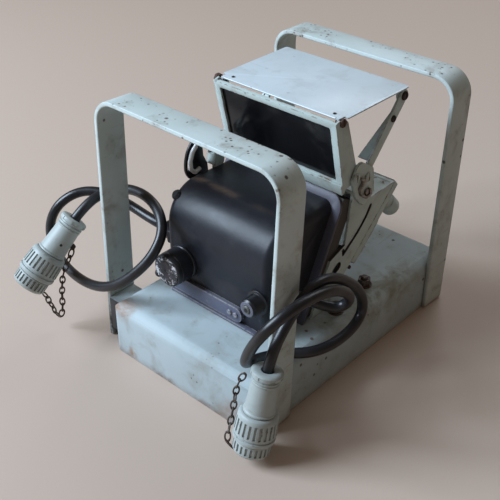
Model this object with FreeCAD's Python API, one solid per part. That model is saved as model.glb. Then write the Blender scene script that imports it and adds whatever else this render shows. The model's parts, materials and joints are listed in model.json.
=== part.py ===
# Portable floor spotlight on a sheet-metal pan, with two guard hoops, a folding
# hood and two plug-ended leads.  Millimetres.  +Z up, +Y towards the lit side,
# +X to the right when the controls face the viewer.  The origin is on the
# floor, at the middle of the pan's length and of the two hoops' width.
import FreeCAD, Part
import math
import os

V = FreeCAD.Vector

# ---- driving dimensions -------------------------------------------------
PAN_X0, PAN_X1 = -67.0, 81.0
PAN_HALF_Y = 117.0
PAN_H = 46.0
PAN_WALL = 2.0
PAN_TOP_R = 9.5
PAN_CORNER_R = 5.5

HOOP_T = 3.5
HOOP_W = 24.7
HOOP_INNER_FOOT = 81.0
HOOP_INNER_TOP = 83.2
HOOP_H = 204.0
HOOP_R = 19.0
HOOP_FOOT_Z = 0.8
NEAR_HOOP_Y = -PAN_HALF_Y + 8.3
NEAR_HOOP_LEAN = 2.2
FAR_HOOP_Y = PAN_HALF_Y - 26.5
SPACER_Z0, SPACER_Z1 = 8.0, 38.0

HEAD_X = 3.0
SHELL_HALF = 50.0
SHELL_NEAR_Y = -72.0
SHELL_TOP_NEAR = 123.5
SHELL_TOP_RIM = 130.8
SHELL_BEND_R = 25.0
SHELL_EDGE_R = 8.0
SHELL_WALL = 2.5
RIM_Y, RIM_Z = 0.5, 137.0
RIM_TILT = 25.5
RIM_HALF = 57.0
RIM_T = 2.5
RIM_CORNER_R = 13.0

FRAME_HALF = 57.0
FRAME_WALL = 2.0
FACE_Y, FACE_Z = 69.0, 119.6
FACE_TILT = 46.1
DOOR_T = 6.0
DOOR_LEN = 72.0
DOOR_GAP = 0.4
HINGE_DOWN, HINGE_OUT = DOOR_LEN + 3.0, -3.2
WINDOW_MARGIN = 14.0
GLASS_DOWN0, GLASS_DOWN1 = 29.5, 65.0
SLOT_W = 3.0
SIDE_SLOT = [(33.6, 115.5), (28.2, 107.3), (20.9, 100.2), (14.4, 95.0), (7.9, 90.4), (3.0, 86.6), (2.6, 90.0)]

# The hood's near panel stands on its foot line and carries the top plate.
PANEL_FOOT_Y, PANEL_FOOT_Z = -1.299, 139.585
PANEL_TILT = -13.2
PANEL_LEN = 60.0
PANEL_Y = PANEL_FOOT_Y + PANEL_LEN * math.sin(math.radians(PANEL_TILT))
PANEL_Z = PANEL_FOOT_Z + PANEL_LEN * math.cos(math.radians(PANEL_TILT))
PANEL_T = 2.0
FLANGE_T = 1.7
FLANGE_DEPTH = 17.0
EAR_T = 2.0
HOOD_TOP_Z = PANEL_Z + 1.5
HOOD_TOP_T = 1.0
HOOD_TOP_HALF = FRAME_HALF + 1.0
HOOD_FAR_Y = 69.5
TAB_T = 2.0
SIDE_GAP = 0.3
PANEL_PIVOT = (9.0, 149.0)
TOP_PIVOT = (PANEL_Y + 7.8, PANEL_Z - 1.2)
STRUT_PIVOT = (HOOD_FAR_Y - 4.0, PANEL_Z - 5.0)
STRUT_FOOT = (27.0, 148.5)
STRUT_LEN = math.hypot(STRUT_FOOT[0] - STRUT_PIVOT[0], STRUT_FOOT[1] - STRUT_PIVOT[1])
STRUT_FLANGE = 8.5
CORD_SEAT = 6.0
SCREW_R = 2.0
PIN_R = 1.5
RUN_CLEAR = 0.05

KNOB_X, KNOB_Z = -32.0, 76.5
KNOB_R = 12.0
KNOB_TIP_Y = -91.0
BUTTON_X, BUTTON_Z = 43.0, 75.5
BUTTON_R = 7.4
BUTTON_CAP_R = 3.3
BUTTON_TIP_Y = SHELL_NEAR_Y - 12.5
DOOR_KNOB_X = 47.0
DOOR_KNOB_DOWN = 12.5
DOOR_KNOB_R = 7.6
LAMP_DOWN = 49.0
LATCH_X1 = HEAD_X - SHELL_HALF
LATCH_PIN = (-15.5, 146.0)
FOOT_STRIP_Z = PAN_H + 9.5
GLAND_Y, GLAND_Z = -62.0, 89.0
CORD_R = 3.9

CONN_LEN = 66.0
CONN_SPLIT = 54.8
CONN_BODY_R = 11.0
CONN_NUT_R = 14.2
CONN_CAP_R = 13.0
LEFT_CONN_TIP = (-130.0, -149.5, 46.5)
LEFT_CONN_DIR = (-0.194, -0.663, -0.723)
RIGHT_CONN_TIP = (89.6, -131.2, 6.2)
RIGHT_CONN_DIR = (-0.037, -0.209, -0.977)

# Route points of the two leads, gland to connector.
LEFT_ROUTE = [
    (-55, -62, 89), (-75, -62, 89), (-103, -62.5, 93), (-125, -64, 95), (-142, -73, 96),
    (-152, -85, 92), (-160, -96, 80), (-162, -102, 62), (-151, -105, 45), (-122, -111, 41),
    (-83, -119, 52), (-60, -116, 63), (-45, -108, 78), (-37, -98, 92), (-38, -86, 106),
    (-53, -76, 115), (-77, -69, 116), (-101, -67, 111), (-114, -76, 107)]
RIGHT_ROUTE = [
    (61, -62, 89), (74, -62, 89), (83, -50.5, 81), (90, -42, 77), (96, -37, 83),
    (99, -42, 94), (101, -58, 107), (102, -77, 115), (102, -96, 118), (100, -113, 116),
    (92, -124, 103), (81, -123, 84), (71, -117, 64), (63.5, -106, 53), (66.5, -92, 51),
    (75, -79, 51), (87, -68, 51), (93, -52, 51), (93.5, -31, 51), (91.5, -14, 55),
    (92, -13.5, 70), (92, -25, 89), (92, -47, 107), (92, -68, 115), (92, -84, 110),
    (92.5, -98, 101)]

# Lines along which the cap chains hang, coupling end to cap end.
LEFT_CHAIN = [
    (-114.5, -126.5, 50), (-117, -126.5, 40), (-119, -126.5, 28), (-120, -127, 15),
    (-121.5, -129.5, 9), (-122.3, -133, 17), (-122.8, -136, 28), (-124, -139.5, 38)]
RIGHT_CHAIN = [
    (78, -124.5, 63), (74.5, -127.5, 56), (73.3, -129, 43), (72.8, -131, 32),
    (72.8, -133.5, 22), (73.2, -137, 12.5), (75, -139, 7.8), (79.6, -138.0, 7)]
LINK_PITCH = 5.8


# ---- small helpers --------------------------------------------------------
def box(x0, x1, y0, y1, z0, z1):
    return Part.makeBox(x1 - x0, y1 - y0, z1 - z0, V(x0, y0, z0))


def rod(radius, start, direction, length):
    return Part.makeCylinder(radius, length, V(*start), V(*direction))


def join(first, *rest):
    return first.fuse(list(rest)).removeSplitter()


def placed(shape, position, turn):
    """Turns and moves a shape from wherever it already stands."""
    shape.Placement = FreeCAD.Placement(position, turn).multiply(shape.Placement)
    return shape


def rounded_wire(points, radii, closed=True):
    """Straight runs joined by tangent arcs; a zero radius leaves the corner sharp."""
    n = len(points)
    if not hasattr(radii, "__len__"):
        radii = [radii] * n
    corners = []
    for i, point in enumerate(points):
        if not closed and i in (0, n - 1):
            corners.append((point, None, point))
            continue
        back = (points[i - 1] - point).normalize()
        ahead = (points[(i + 1) % n] - point).normalize()
        half = back.getAngle(ahead) / 2.0
        if radii[i] <= 0 or half > math.pi / 2 - 1e-4:
            corners.append((point, None, point))
            continue
        cut = radii[i] / math.tan(half)
        middle = (back + ahead).normalize() * (radii[i] / math.sin(half) - radii[i])
        corners.append((point + back * cut, point + middle, point + ahead * cut))
    edges = []
    for i in range(n):
        start, mid, end = corners[i]
        if mid is not None:
            edges.append(Part.Arc(start, mid, end).toShape())
        if i < n - 1 or closed:
            following = corners[(i + 1) % n][0]
            if (following - end).Length > 1e-5:
                edges.append(Part.LineSegment(end, following).toShape())
    return Part.Wire(edges)


def prism_x(points, x0, x1, radii=0):
    """Outline given as (Y, Z) pairs, extruded from X = x0 to x1."""
    wire = rounded_wire([V(x0, y, z) for y, z in points], radii)
    return Part.Face(wire).extrude(V(x1 - x0, 0, 0))


def prism_z(points, z0, z1, radii=0):
    wire = rounded_wire([V(x, y, z0) for x, y in points], radii)
    return Part.Face(wire).extrude(V(0, 0, z1 - z0))


def rect_block(x0, x1, y0, y1, z0, z1, radius):
    return prism_z([(x0, y0), (x1, y0), (x1, y1), (x0, y1)], z0, z1, radius)


def leaning(shape, y, z, tilt):
    """Moves a shape drawn as x across, y down the sheet, z out of the sheet."""
    turn = FreeCAD.Rotation(V(1, 0, 0), -(90.0 + tilt))
    return placed(shape, V(0, y, z), turn)


def on_face(shape):
    return leaning(shape, FACE_Y, FACE_Z, FACE_TILT)


def on_rim(shape):
    return leaning(shape, RIM_Y, RIM_Z, RIM_TILT)


def on_panel(shape):
    return leaning(shape, PANEL_Y, PANEL_Z, PANEL_TILT)


def sheet_point(y, z, tilt, down, out):
    """(Y, Z) of a point measured down a leaning sheet and out of it."""
    a = math.radians(tilt)
    return (y - down * math.sin(a) + out * math.cos(a), z - down * math.cos(a) - out * math.sin(a))


def mirrored(shape):
    """The same piece on the other side of the head's middle plane."""
    return shape.mirror(V(HEAD_X, 0, 0), V(1, 0, 0))


def half_span(half):
    return HEAD_X - half, HEAD_X + half


def hex_nut(across_flats, height, start, direction=(0, 0, 1)):
    radius = across_flats / math.sqrt(3.0)
    ring = [V(radius * math.cos(math.radians(60 * i)), radius * math.sin(math.radians(60 * i)), 0)
            for i in range(6)]
    nut = Part.Face(rounded_wire(ring, 0)).extrude(V(0, 0, height))
    cone = Part.makeCone(radius + height * 0.75, radius * 0.93, height)
    nut = nut.common(cone)
    return placed(nut, V(*start), FreeCAD.Rotation(V(0, 0, 1), V(*direction)))


def slotted_screw(radius, head_height, start, direction, slot=(0, 0, 1)):
    """Low domed head with a driver slot, standing on the point `start`."""
    head = Part.makeCylinder(radius, head_height)
    head = head.makeChamfer(head_height * 0.4, [head.Edges[0]])
    width = radius * 0.28
    corner = V(-1.2 * radius, -width / 2, head_height * 0.55)
    cut = Part.makeBox(2.4 * radius, width, head_height, corner)
    head = head.cut(cut)
    return placed(head, V(*start), FreeCAD.Rotation(V(0, 0, 1), V(*direction)))


def groove_ring(radius, depth, low, width=0.9):
    """The ring that a turned groove takes away from a round of this radius."""
    outer = Part.makeCylinder(radius + 1, width, V(0, 0, low))
    return outer.cut(Part.makeCylinder(radius - depth, width, V(0, 0, low)))


# ---- pan and hoops --------------------------------------------------------
def pan_solid(inset):
    x0, x1 = PAN_X0 + inset, PAN_X1 - inset
    y1 = PAN_HALF_Y - inset
    top = PAN_H - inset
    bend = PAN_TOP_R - inset
    long_way = rounded_wire([V(x0, -y1, -1), V(x1, -y1, -1), V(x1, -y1, top), V(x0, -y1, top)],
                            [0, 0, bend, bend])
    short_way = rounded_wire([V(x0, -y1, -1), V(x0, y1, -1), V(x0, y1, top), V(x0, -y1, top)],
                             [0, 0, bend, bend])
    solid = Part.Face(long_way).extrude(V(0, 2 * y1, 0))
    solid = solid.common(Part.Face(short_way).extrude(V(x1 - x0, 0, 0)))
    return solid.common(rect_block(x0, x1, -y1, y1, -1, top + 1, PAN_CORNER_R - inset))


def base_pan():
    pan = pan_solid(0.0).cut(pan_solid(PAN_WALL))
    return pan.common(box(-200, 200, -200, 200, 0, 100))


def guard_hoop(y0):
    def outline(inset, z_low):
        foot = HOOP_INNER_FOOT + HOOP_T - inset
        top = HOOP_INNER_TOP + HOOP_T - inset
        height = HOOP_H - inset
        bend = HOOP_R - inset
        points = [(foot, z_low), (foot, PAN_H), (top, height), (-top, height), (-foot, PAN_H), (-foot, z_low)]
        return rounded_wire([V(x, y0, z) for x, z in points], [0, 0, bend, bend, 0, 0])
    outer = Part.Face(outline(0.0, 0.0)).extrude(V(0, HOOP_W, 0))
    inner = Part.Face(outline(HOOP_T, -1.0)).extrude(V(0, HOOP_W, 0))
    return outer.cut(inner)


def near_guard_hoop():
    hoop = guard_hoop(NEAR_HOOP_Y)
    hoop.rotate(V(0, NEAR_HOOP_Y, 0), V(1, 0, 0), -NEAR_HOOP_LEAN)
    return hoop.common(box(-200, 200, -200, 200, HOOP_FOOT_Z, 300))


def far_guard_hoop():
    return guard_hoop(FAR_HOOP_Y).common(box(-200, 200, -200, 200, HOOP_FOOT_Z, 300))


def hoop_spacer(y0):
    block = rect_block(-HOOP_INNER_FOOT, PAN_X0, y0, y0 + HOOP_W, SPACER_Z0, SPACER_Z1, 0)
    bore = rod(3.0, (-HOOP_INNER_FOOT - 1, y0 + HOOP_W / 2, (SPACER_Z0 + SPACER_Z1) / 2), (1, 0, 0), 20)
    return block.cut(bore)


def pan_nut(x, y):
    nut = hex_nut(9.0, 5.0, (x, y, PAN_H + 1.2))
    washer = rod(6.0, (x, y, PAN_H), (0, 0, 1), 1.2)
    stud = rod(2.9, (x, y, PAN_H + 1.2), (0, 0, 1), 7.0)
    stud = stud.makeChamfer(0.8, [stud.Edges[0]])
    return join(washer, nut, stud)


# ---- black shell with its rim ----------------------------------------------
def shell_solid(inset, past_rim):
    near = SHELL_NEAR_Y + inset
    slope = (SHELL_TOP_RIM - SHELL_TOP_NEAR) / (RIM_Y - SHELL_NEAR_Y)
    top_near = SHELL_TOP_NEAR - inset
    far_y = RIM_Y + 8.0
    top_far = top_near + slope * (far_y - near)
    bottom = PAN_H + inset
    side = half_span(SHELL_HALF - inset)
    points = [(near, bottom), (near, top_near), (far_y, top_far), (far_y, bottom)]
    body = prism_x(points, side[0], side[1], [0, SHELL_BEND_R - inset, 0, 0])
    edges = []
    for edge in body.Edges:
        middle = edge.valueAt((edge.FirstParameter + edge.LastParameter) / 2)
        on_side = min(abs(middle.x - side[0]), abs(middle.x - side[1])) < 1e-3
        if on_side and middle.z > bottom + 1 and middle.y < far_y - 1:
            edges.append(edge)
    body = body.makeFillet(SHELL_EDGE_R - inset, edges)
    keep = on_rim(Part.makeBox(400, 300, 300, V(-200, -100, past_rim - 300)))
    return body.common(keep)


def head_shell():
    shell = shell_solid(0.0, 0.0).cut(shell_solid(SHELL_WALL, 5.0))
    for x, z, radius in ((KNOB_X, KNOB_Z, 3.2), (BUTTON_X, BUTTON_Z, 4.5)):
        shell = shell.cut(rod(radius, (x, SHELL_NEAR_Y - 1, z), (0, 1, 0), 6))
    for start in (half_span(SHELL_HALF)[0] - 1, half_span(SHELL_HALF)[1] - 5):
        shell = shell.cut(rod(CORD_R + 0.6, (start, GLAND_Y, GLAND_Z), (1, 0, 0), 6))
    return shell


def rim_frame():
    x0, x1 = half_span(RIM_HALF)
    ring = on_rim(rect_block(x0, x1, 0, 140, 0, RIM_T, RIM_CORNER_R))
    ring = ring.cut(shell_solid(SHELL_WALL, 5.0))
    return ring.common(box(-200, 200, -200, 200, PAN_H, 300))


def throat_sleeve():
    """Flared box between the rim and the front frame, open at both ends."""
    x0, x1 = half_span(FRAME_HALF - FRAME_WALL)
    reach = 16.0
    lean = math.radians(RIM_TILT)

    def outline(inset, near, far):
        low = PAN_H + FRAME_WALL + inset
        points = [sheet_point(RIM_Y, RIM_Z, RIM_TILT, 2.5 + inset, out) for out in (near, far)]
        for out in (far, near):
            down = (RIM_Z - low - out * math.sin(lean)) / math.cos(lean)
            points.append(sheet_point(RIM_Y, RIM_Z, RIM_TILT, down, out))
        return points
    sleeve = prism_x(outline(0.0, RIM_T, reach), x0, x1)
    hollow = prism_x(outline(FRAME_WALL, RIM_T - 3.0, reach + 3.0), x0 + FRAME_WALL, x1 - FRAME_WALL)
    return sleeve.cut(hollow).cut(shell_solid(SHELL_WALL, 30.0))


def foot_strip():
    bar = rect_block(-41, 29, -6, 6, 0, 3.2, [0.5, 5.5, 5.5, 0.5])
    bar = placed(bar, V(0, SHELL_NEAR_Y, FOOT_STRIP_Z), FreeCAD.Rotation(V(1, 0, 0), 90))
    lower = box(-44, 48, SHELL_NEAR_Y - 4.2, SHELL_NEAR_Y, PAN_H, PAN_H + 2.2)
    web = box(-41, 22, SHELL_NEAR_Y - 1.5, SHELL_NEAR_Y, PAN_H + 2.0, PAN_H + 5.0)
    return join(bar, lower, web)


def foot_screws():
    screws = [slotted_screw(2.2, 1.3, (x, SHELL_NEAR_Y - 3.2, FOOT_STRIP_Z), (0, -1, 0)) for x in (17.5, 23.5)]
    return Part.makeCompound(screws)


def shell_screw():
    screw = slotted_screw(4.0, 2.6, (-41.5, -64.0, 115.6), (-0.25, -0.68, 0.69))
    return screw.cut(shell_solid(0.0, 0.0))


# ---- controls and glands ----------------------------------------------------
def knob_collar():
    ring = rod(KNOB_R + 1.5, (KNOB_X, SHELL_NEAR_Y, KNOB_Z), (0, -1, 0), 3.0)
    ring = ring.makeChamfer(0.8, [ring.Edges[0]])
    return ring.cut(rod(3.0, (KNOB_X, SHELL_NEAR_Y + 1, KNOB_Z), (0, -1, 0), 6))


def selector_knob():
    """Smooth round barrel with a pressed face plate, a thumb nub and a shaft."""
    face_y = SHELL_NEAR_Y - 3.3
    length = face_y - KNOB_TIP_Y
    knob = Part.makeCylinder(KNOB_R, length)
    knob = knob.makeChamfer(1.0, [knob.Edges[0]])
    knob = knob.cut(groove_ring(KNOB_R, 0.6, length - 5.0))
    for i in range(5):
        angle = math.radians(72 * i + 20)
        hole = Part.makeCylinder(1.1, 1.6, V(7.2 * math.cos(angle), 7.2 * math.sin(angle), length - 1.5))
        knob = knob.cut(hole)
    knob = knob.cut(Part.makeCylinder(2.4, 1.0, V(0, 0, length - 0.9)))
    nub = Part.makeBox(6.0, 5.0, 5.0, V(KNOB_R - 3.5, -2.5, length - 5.6))
    nub.rotate(V(0, 0, 0), V(0, 0, 1), 195)
    shaft = Part.makeCylinder(2.9, 8.0, V(0, 0, -8.0))
    knob = join(knob, nub, shaft)
    return placed(knob, V(KNOB_X, face_y, KNOB_Z), FreeCAD.Rotation(V(1, 0, 0), 90))


def button_bezel():
    length = SHELL_NEAR_Y - BUTTON_TIP_Y
    body = rod(BUTTON_R, (BUTTON_X, SHELL_NEAR_Y, BUTTON_Z), (0, -1, 0), length)
    body = body.makeChamfer(1.6, [body.Edges[0]])
    flange = rod(BUTTON_R + 2.2, (BUTTON_X, SHELL_NEAR_Y, BUTTON_Z), (0, -1, 0), 1.6)
    bore = rod(BUTTON_CAP_R + RUN_CLEAR, (BUTTON_X, SHELL_NEAR_Y + 1, BUTTON_Z), (0, -1, 0), 30)
    return join(body, flange).cut(bore)


def push_button():
    cap = rod(BUTTON_CAP_R, (BUTTON_X, BUTTON_TIP_Y + 9.0, BUTTON_Z), (0, -1, 0), 10.0)
    cap = cap.makeChamfer(0.6, [cap.Edges[0]])
    stem = rod(2.0, (BUTTON_X, BUTTON_TIP_Y + 9.0, BUTTON_Z), (0, 1, 0), 8.0)
    return join(cap, stem)


def cord_gland():
    x = half_span(SHELL_HALF)[0]
    nut = hex_nut(17.0, 5.0, (x, GLAND_Y, GLAND_Z), (-1, 0, 0))
    dome = rod(7.4, (x - 5.0, GLAND_Y, GLAND_Z), (-1, 0, 0), 9.0)
    dome = dome.makeChamfer(1.8, [dome.Edges[0]])
    gland = join(nut, dome)
    return gland.cut(rod(CORD_R, (x - 14.0, GLAND_Y, GLAND_Z), (1, 0, 0), CORD_SEAT))


# ---- light-coloured front frame ---------------------------------------------
def frame_outline(inset):
    door_back = DOOR_T + DOOR_GAP + inset
    top_front = sheet_point(FACE_Y, FACE_Z, FACE_TILT, 1.0 + inset, -door_back)
    a = math.radians(FACE_TILT)
    low = PAN_H + inset
    down = (FACE_Z - low + door_back * math.sin(a)) / math.cos(a)
    low_front = sheet_point(FACE_Y, FACE_Z, FACE_TILT, down, -door_back)
    return [(10.0 + inset * 0.2, 137.0 - inset * 1.5), (4.5, 94.0), (-13.0, 88.0), (-33.0, low), low_front,
            (top_front[0], top_front[1]), (33.0, 123.0 - inset * 1.1)]


def front_frame():
    x0, x1 = half_span(FRAME_HALF)
    body = prism_x(frame_outline(0.0), x0, x1)
    hollow = prism_x(frame_outline(FRAME_WALL), x0 + FRAME_WALL, x1 - FRAME_WALL)
    rear = [(10.4, 134.0), (4.5, 94.0), (-13.0, 88.0), (-33.0, PAN_H + FRAME_WALL),
            (-70.0, PAN_H + FRAME_WALL), (-20.0, 134.0)]
    frame = body.cut(hollow).cut(prism_x(rear, x0 + FRAME_WALL, x1 - FRAME_WALL))
    window = on_face(rect_block(x0 + 10, x1 - 10, 12, 64, -20, 5, 5))
    frame = frame.cut(window)
    slot = path_slot(SIDE_SLOT, x0 - 1, x1 + 1, SLOT_W)
    oval = path_slot([(-6.0, 76.7), (-2.5, 78.7)], x0 - 1, x1 + 1, 6.5)
    y, z = sheet_point(FACE_Y, FACE_Z, FACE_TILT, HINGE_DOWN, HINGE_OUT)
    bores = rod(PIN_R + RUN_CLEAR, (x0 - 1, y, z), (1, 0, 0), x1 - x0 + 2)
    return frame.cut(slot).cut(oval).cut(bores)


def path_slot(points, x0, x1, width):
    """A slot of even width along a line of (Y, Z) points, cut through in X."""
    pieces = []
    for (ya, za), (yb, zb) in zip(points, points[1:]):
        length = math.hypot(yb - ya, zb - za)
        nx, nz = -(zb - za) / length * width / 2, (yb - ya) / length * width / 2
        quad = [(ya + nx, za + nz), (yb + nx, zb + nz), (yb - nx, zb - nz), (ya - nx, za - nz)]
        pieces.append(prism_x(quad, x0, x1))
    for y, z in points:
        pieces.append(rod(width / 2, (x0, y, z), (1, 0, 0), x1 - x0))
    return join(pieces[0], *pieces[1:])


def front_door():
    """Shallow lid with a window, two hinge leaves on its lower edge and a knob bore."""
    x0, x1 = half_span(FRAME_HALF)
    plate = rect_block(x0, x1, 0.0, DOOR_LEN - 1.0, -DOOR_T, 0.0, 1.5)
    plate = plate.cut(rect_block(x0 + 1.6, x1 - 1.6, 1.6, DOOR_LEN - 2.6, -DOOR_T - 1, -2.0, 0.8))
    w0, w1 = x0 + WINDOW_MARGIN, x1 - WINDOW_MARGIN
    window = rect_block(w0, w1, GLASS_DOWN0 - 2.5, GLASS_DOWN1 - 1.0, -DOOR_T - 1, 1, 4)
    plate = plate.cut(window).cut(Part.makeCylinder(3.05, 20, V(DOOR_KNOB_X, DOOR_KNOB_DOWN, -10)))
    leaves = []
    for start in (x0 + 8, x1 - 28):
        leaves.append(Part.makeBox(20, 5.0, 2.0, V(start, DOOR_LEN - 3.0, -2.0)))
        leaves.append(Part.makeCylinder(3.0, 20, V(start, HINGE_DOWN, HINGE_OUT), V(1, 0, 0)))
    plate = join(plate, *leaves)
    bore = Part.makeCylinder(PIN_R + RUN_CLEAR, x1 - x0 + 40, V(x0 - 20, HINGE_DOWN, HINGE_OUT), V(1, 0, 0))
    return on_face(plate.cut(bore))


def door_hinge_pin():
    x0, x1 = half_span(FRAME_HALF)
    y, z = sheet_point(FACE_Y, FACE_Z, FACE_TILT, HINGE_DOWN, HINGE_OUT)
    return rod(PIN_R, (x0, y, z), (1, 0, 0), x1 - x0)


def glass_block(margin, low, high, radius):
    """Rounded block on the door's face, its sides `margin` outside the lens glass."""
    x0, x1 = half_span(FRAME_HALF - 12.0 + margin)
    return rect_block(x0, x1, GLASS_DOWN0 - margin, GLASS_DOWN1 + margin, low, high, radius)


def lens_bezel():
    """Box-shaped rim round the lens, cut back at a slant towards its lower edge."""
    ring = glass_block(4.0, 0, 16, 6).cut(glass_block(0.5, -1, 17, 3))
    slant = Part.makeBox(400, 40, 30, V(-200, 0, 0))
    slant.rotate(V(0, 0, 0), V(1, 0, 0), -62)
    slant.translate(V(0, GLASS_DOWN1 - 3.0, 16))
    lip = glass_block(4.0, 0, 2, 6).cut(glass_block(-3.0, -1, 3, 3))
    return on_face(join(ring, lip).cut(slant))


def fresnel_lens():
    """Pressed glass plate with stepped rings round its middle."""
    glass = glass_block(0.0, 2.5, 5.0, 3)
    middle = (GLASS_DOWN0 + GLASS_DOWN1) / 2
    for radius in (6.0, 11.0, 16.0):
        step = Part.makeCone(radius, radius - 1.6, 1.2)
        groove = Part.makeCylinder(radius, 1.2).cut(step)
        groove.translate(V(HEAD_X, middle, 4.2))
        glass = glass.cut(groove)
    return on_face(glass)


def lens_gasket():
    return on_face(glass_block(0.0, 2.0, 2.5, 3).cut(glass_block(-3.0, 0, 5, 3)))


def door_knob():
    """Plain hand screw that holds the door shut: stem, neck and a flared grip."""
    grip = Part.makeCylinder(DOOR_KNOB_R, 14.0, V(0, 0, 18.0))
    grip = grip.makeChamfer(0.8, [grip.Edges[0]])
    skirt = Part.makeCone(5.2, DOOR_KNOB_R - 0.8, 6.0, V(0, 0, 12.0))
    neck = Part.makeCylinder(5.2, 12.0, V(0, 0, 0.3))
    stem = Part.makeCylinder(3.0, 6.3, V(0, 0, -6.0))
    knob = join(grip, skirt, neck, stem)
    knob.translate(V(DOOR_KNOB_X, DOOR_KNOB_DOWN, 0))
    return on_face(knob)


# ---- lamp inside --------------------------------------------------------------
def reflector():
    """Deep bowl spun from sheet, parabola-like in five conical steps, with a flat rim."""
    depth, mouth, throat = 30.0, 33.0, 6.0
    bowl = []
    for i in range(5):
        r0 = throat + (mouth - throat) * i / 5.0
        r1 = throat + (mouth - throat) * (i + 1) / 5.0
        z0 = -depth + depth * (r0 ** 2 - throat ** 2) / (mouth ** 2 - throat ** 2)
        z1 = -depth + depth * (r1 ** 2 - throat ** 2) / (mouth ** 2 - throat ** 2)
        outer = Part.makeCone(r0 + 0.9, r1 + 0.9, z1 - z0, V(0, 0, z0))
        bowl.append(outer.cut(Part.makeCone(r0, r1, z1 - z0, V(0, 0, z0))))
    lip = Part.makeCylinder(mouth + 3, 1.0, V(0, 0, -1.0))
    bowl.append(lip.cut(Part.makeCylinder(mouth, 3.0, V(0, 0, -2))))
    bowl = join(bowl[0], *bowl[1:])
    bowl.translate(V(HEAD_X, LAMP_DOWN, -1.0))
    return on_rim(bowl)


def lamp_socket():
    body = Part.makeCylinder(7.0, 9.0, V(0, 0, -41.0))
    body = body.cut(Part.makeCylinder(5.0, 6.0, V(0, 0, -36.0)))
    body.translate(V(HEAD_X, LAMP_DOWN, 0.0))
    return on_rim(body)


def lamp_bulb():
    cap = Part.makeCylinder(4.9, 12.0, V(0, 0, -36.0))
    globe = Part.makeSphere(8.0, V(0, 0, -18.0))
    bulb = join(cap, globe)
    bulb.translate(V(HEAD_X, LAMP_DOWN, 0.0))
    return on_rim(bulb)


def socket_bracket():
    ring = Part.makeCylinder(9.0, 4.0, V(HEAD_X, LAMP_DOWN, -40.0))
    ring = ring.cut(Part.makeCylinder(7.0, 6.0, V(HEAD_X, LAMP_DOWN, -41.0)))
    ring = on_rim(ring)
    arm_y, arm_z = sheet_point(RIM_Y, RIM_Z, RIM_TILT, LAMP_DOWN + 8.0, -38.0)
    arm = box(HEAD_X - 5, HEAD_X + 5, arm_y - 1.0, arm_y + 1.0, PAN_H + SHELL_WALL, arm_z)
    foot = box(HEAD_X - 5, HEAD_X + 5, arm_y - 8.0, arm_y + 1.0, PAN_H + SHELL_WALL, PAN_H + SHELL_WALL + 2)
    return join(ring, arm, foot)


# ---- hood -----------------------------------------------------------------------
def hood_near_panel():
    x0, x1 = half_span(FRAME_HALF)
    x0, x1 = x0 + SIDE_GAP, x1 - SIDE_GAP
    sheet = Part.makeBox(x1 - x0, PANEL_LEN, PANEL_T, V(x0, 0, 0))
    sheet = sheet.cut(rect_block(x0 + 5.5, x1 - 5.5, 4.5, PANEL_LEN - 9.0, -1, 5, 1.5))
    top_roll = Part.makeBox(x1 - x0 - 8, 2.5, 3.0, V(x0 + 4, 0, 0))
    bar = Part.makeBox(x1 - x0, 8.0, 1.8, V(x0, PANEL_LEN - 8.0, -1.8))
    foot = PANEL_LEN - 2.0
    side = [(0, 0), (0, 7.0), (5.0, FLANGE_DEPTH - 4.0), (foot - 14.0, FLANGE_DEPTH - 0.5),
            (foot, FLANGE_DEPTH), (foot, 0)]
    pieces = [sheet, top_roll, bar]
    for start in (x0, x1 - FLANGE_T):
        wire = rounded_wire([V(start, y, z) for y, z in side], [0, 1.5, 4, 6, 5, 0])
        pieces.append(Part.Face(wire).extrude(V(FLANGE_T, 0, 0)))
        pieces.append(Part.makeCylinder(4.0, FLANGE_T, V(start, 3.6, 7.0), V(1, 0, 0)))
    panel = on_panel(join(pieces[0], *pieces[1:]))
    panel = panel.cut(box(-200, 200, TOP_PIVOT[0] - 2.6, 20, HOOD_TOP_Z - HOOD_TOP_T - SIDE_GAP, 250))
    panel = panel.cut(rod(SCREW_R + RUN_CLEAR, (x0 - 5, PANEL_PIVOT[0], PANEL_PIVOT[1]), (1, 0, 0), 200))
    return panel.cut(rod(PIN_R, (x0 - 5, TOP_PIVOT[0], TOP_PIVOT[1]), (1, 0, 0), 200))


def hood_dark_pane():
    x0, x1 = half_span(FRAME_HALF - 5.0)
    return on_panel(rect_block(x0, x1, 3.5, PANEL_LEN - 7.0, PANEL_T, PANEL_T + 2.2, 1.0))


def pane_retainer():
    x0, x1 = half_span(FRAME_HALF - 5.0)
    ring = rect_block(x0, x1, 3.5 + 8.5, PANEL_LEN - 4.0, PANEL_T + 2.2, PANEL_T + 3.2, 1.0)
    hole = rect_block(x0 + 4, x1 - 4, 0, PANEL_LEN - 10.0, 0, 10, 1.0)
    foot = Part.makeBox(x1 - x0, 2.6, 2.2, V(x0, PANEL_LEN - 6.6, PANEL_T))
    return on_panel(join(ring.cut(hole), foot))


def top_pivot_pin():
    """Riveted hinge pin at the right near corner of the hood."""
    x1 = half_span(FRAME_HALF)[1] - SIDE_GAP
    start = x1 - FLANGE_T - SIDE_GAP - TAB_T - 1.5
    pin = rod(PIN_R, (start, TOP_PIVOT[0], TOP_PIVOT[1]), (1, 0, 0), x1 - start)
    head = slotted_screw(3.2, 1.4, (x1, TOP_PIVOT[0], TOP_PIVOT[1]), (1, 0, 0))
    return join(pin, head)


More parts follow.
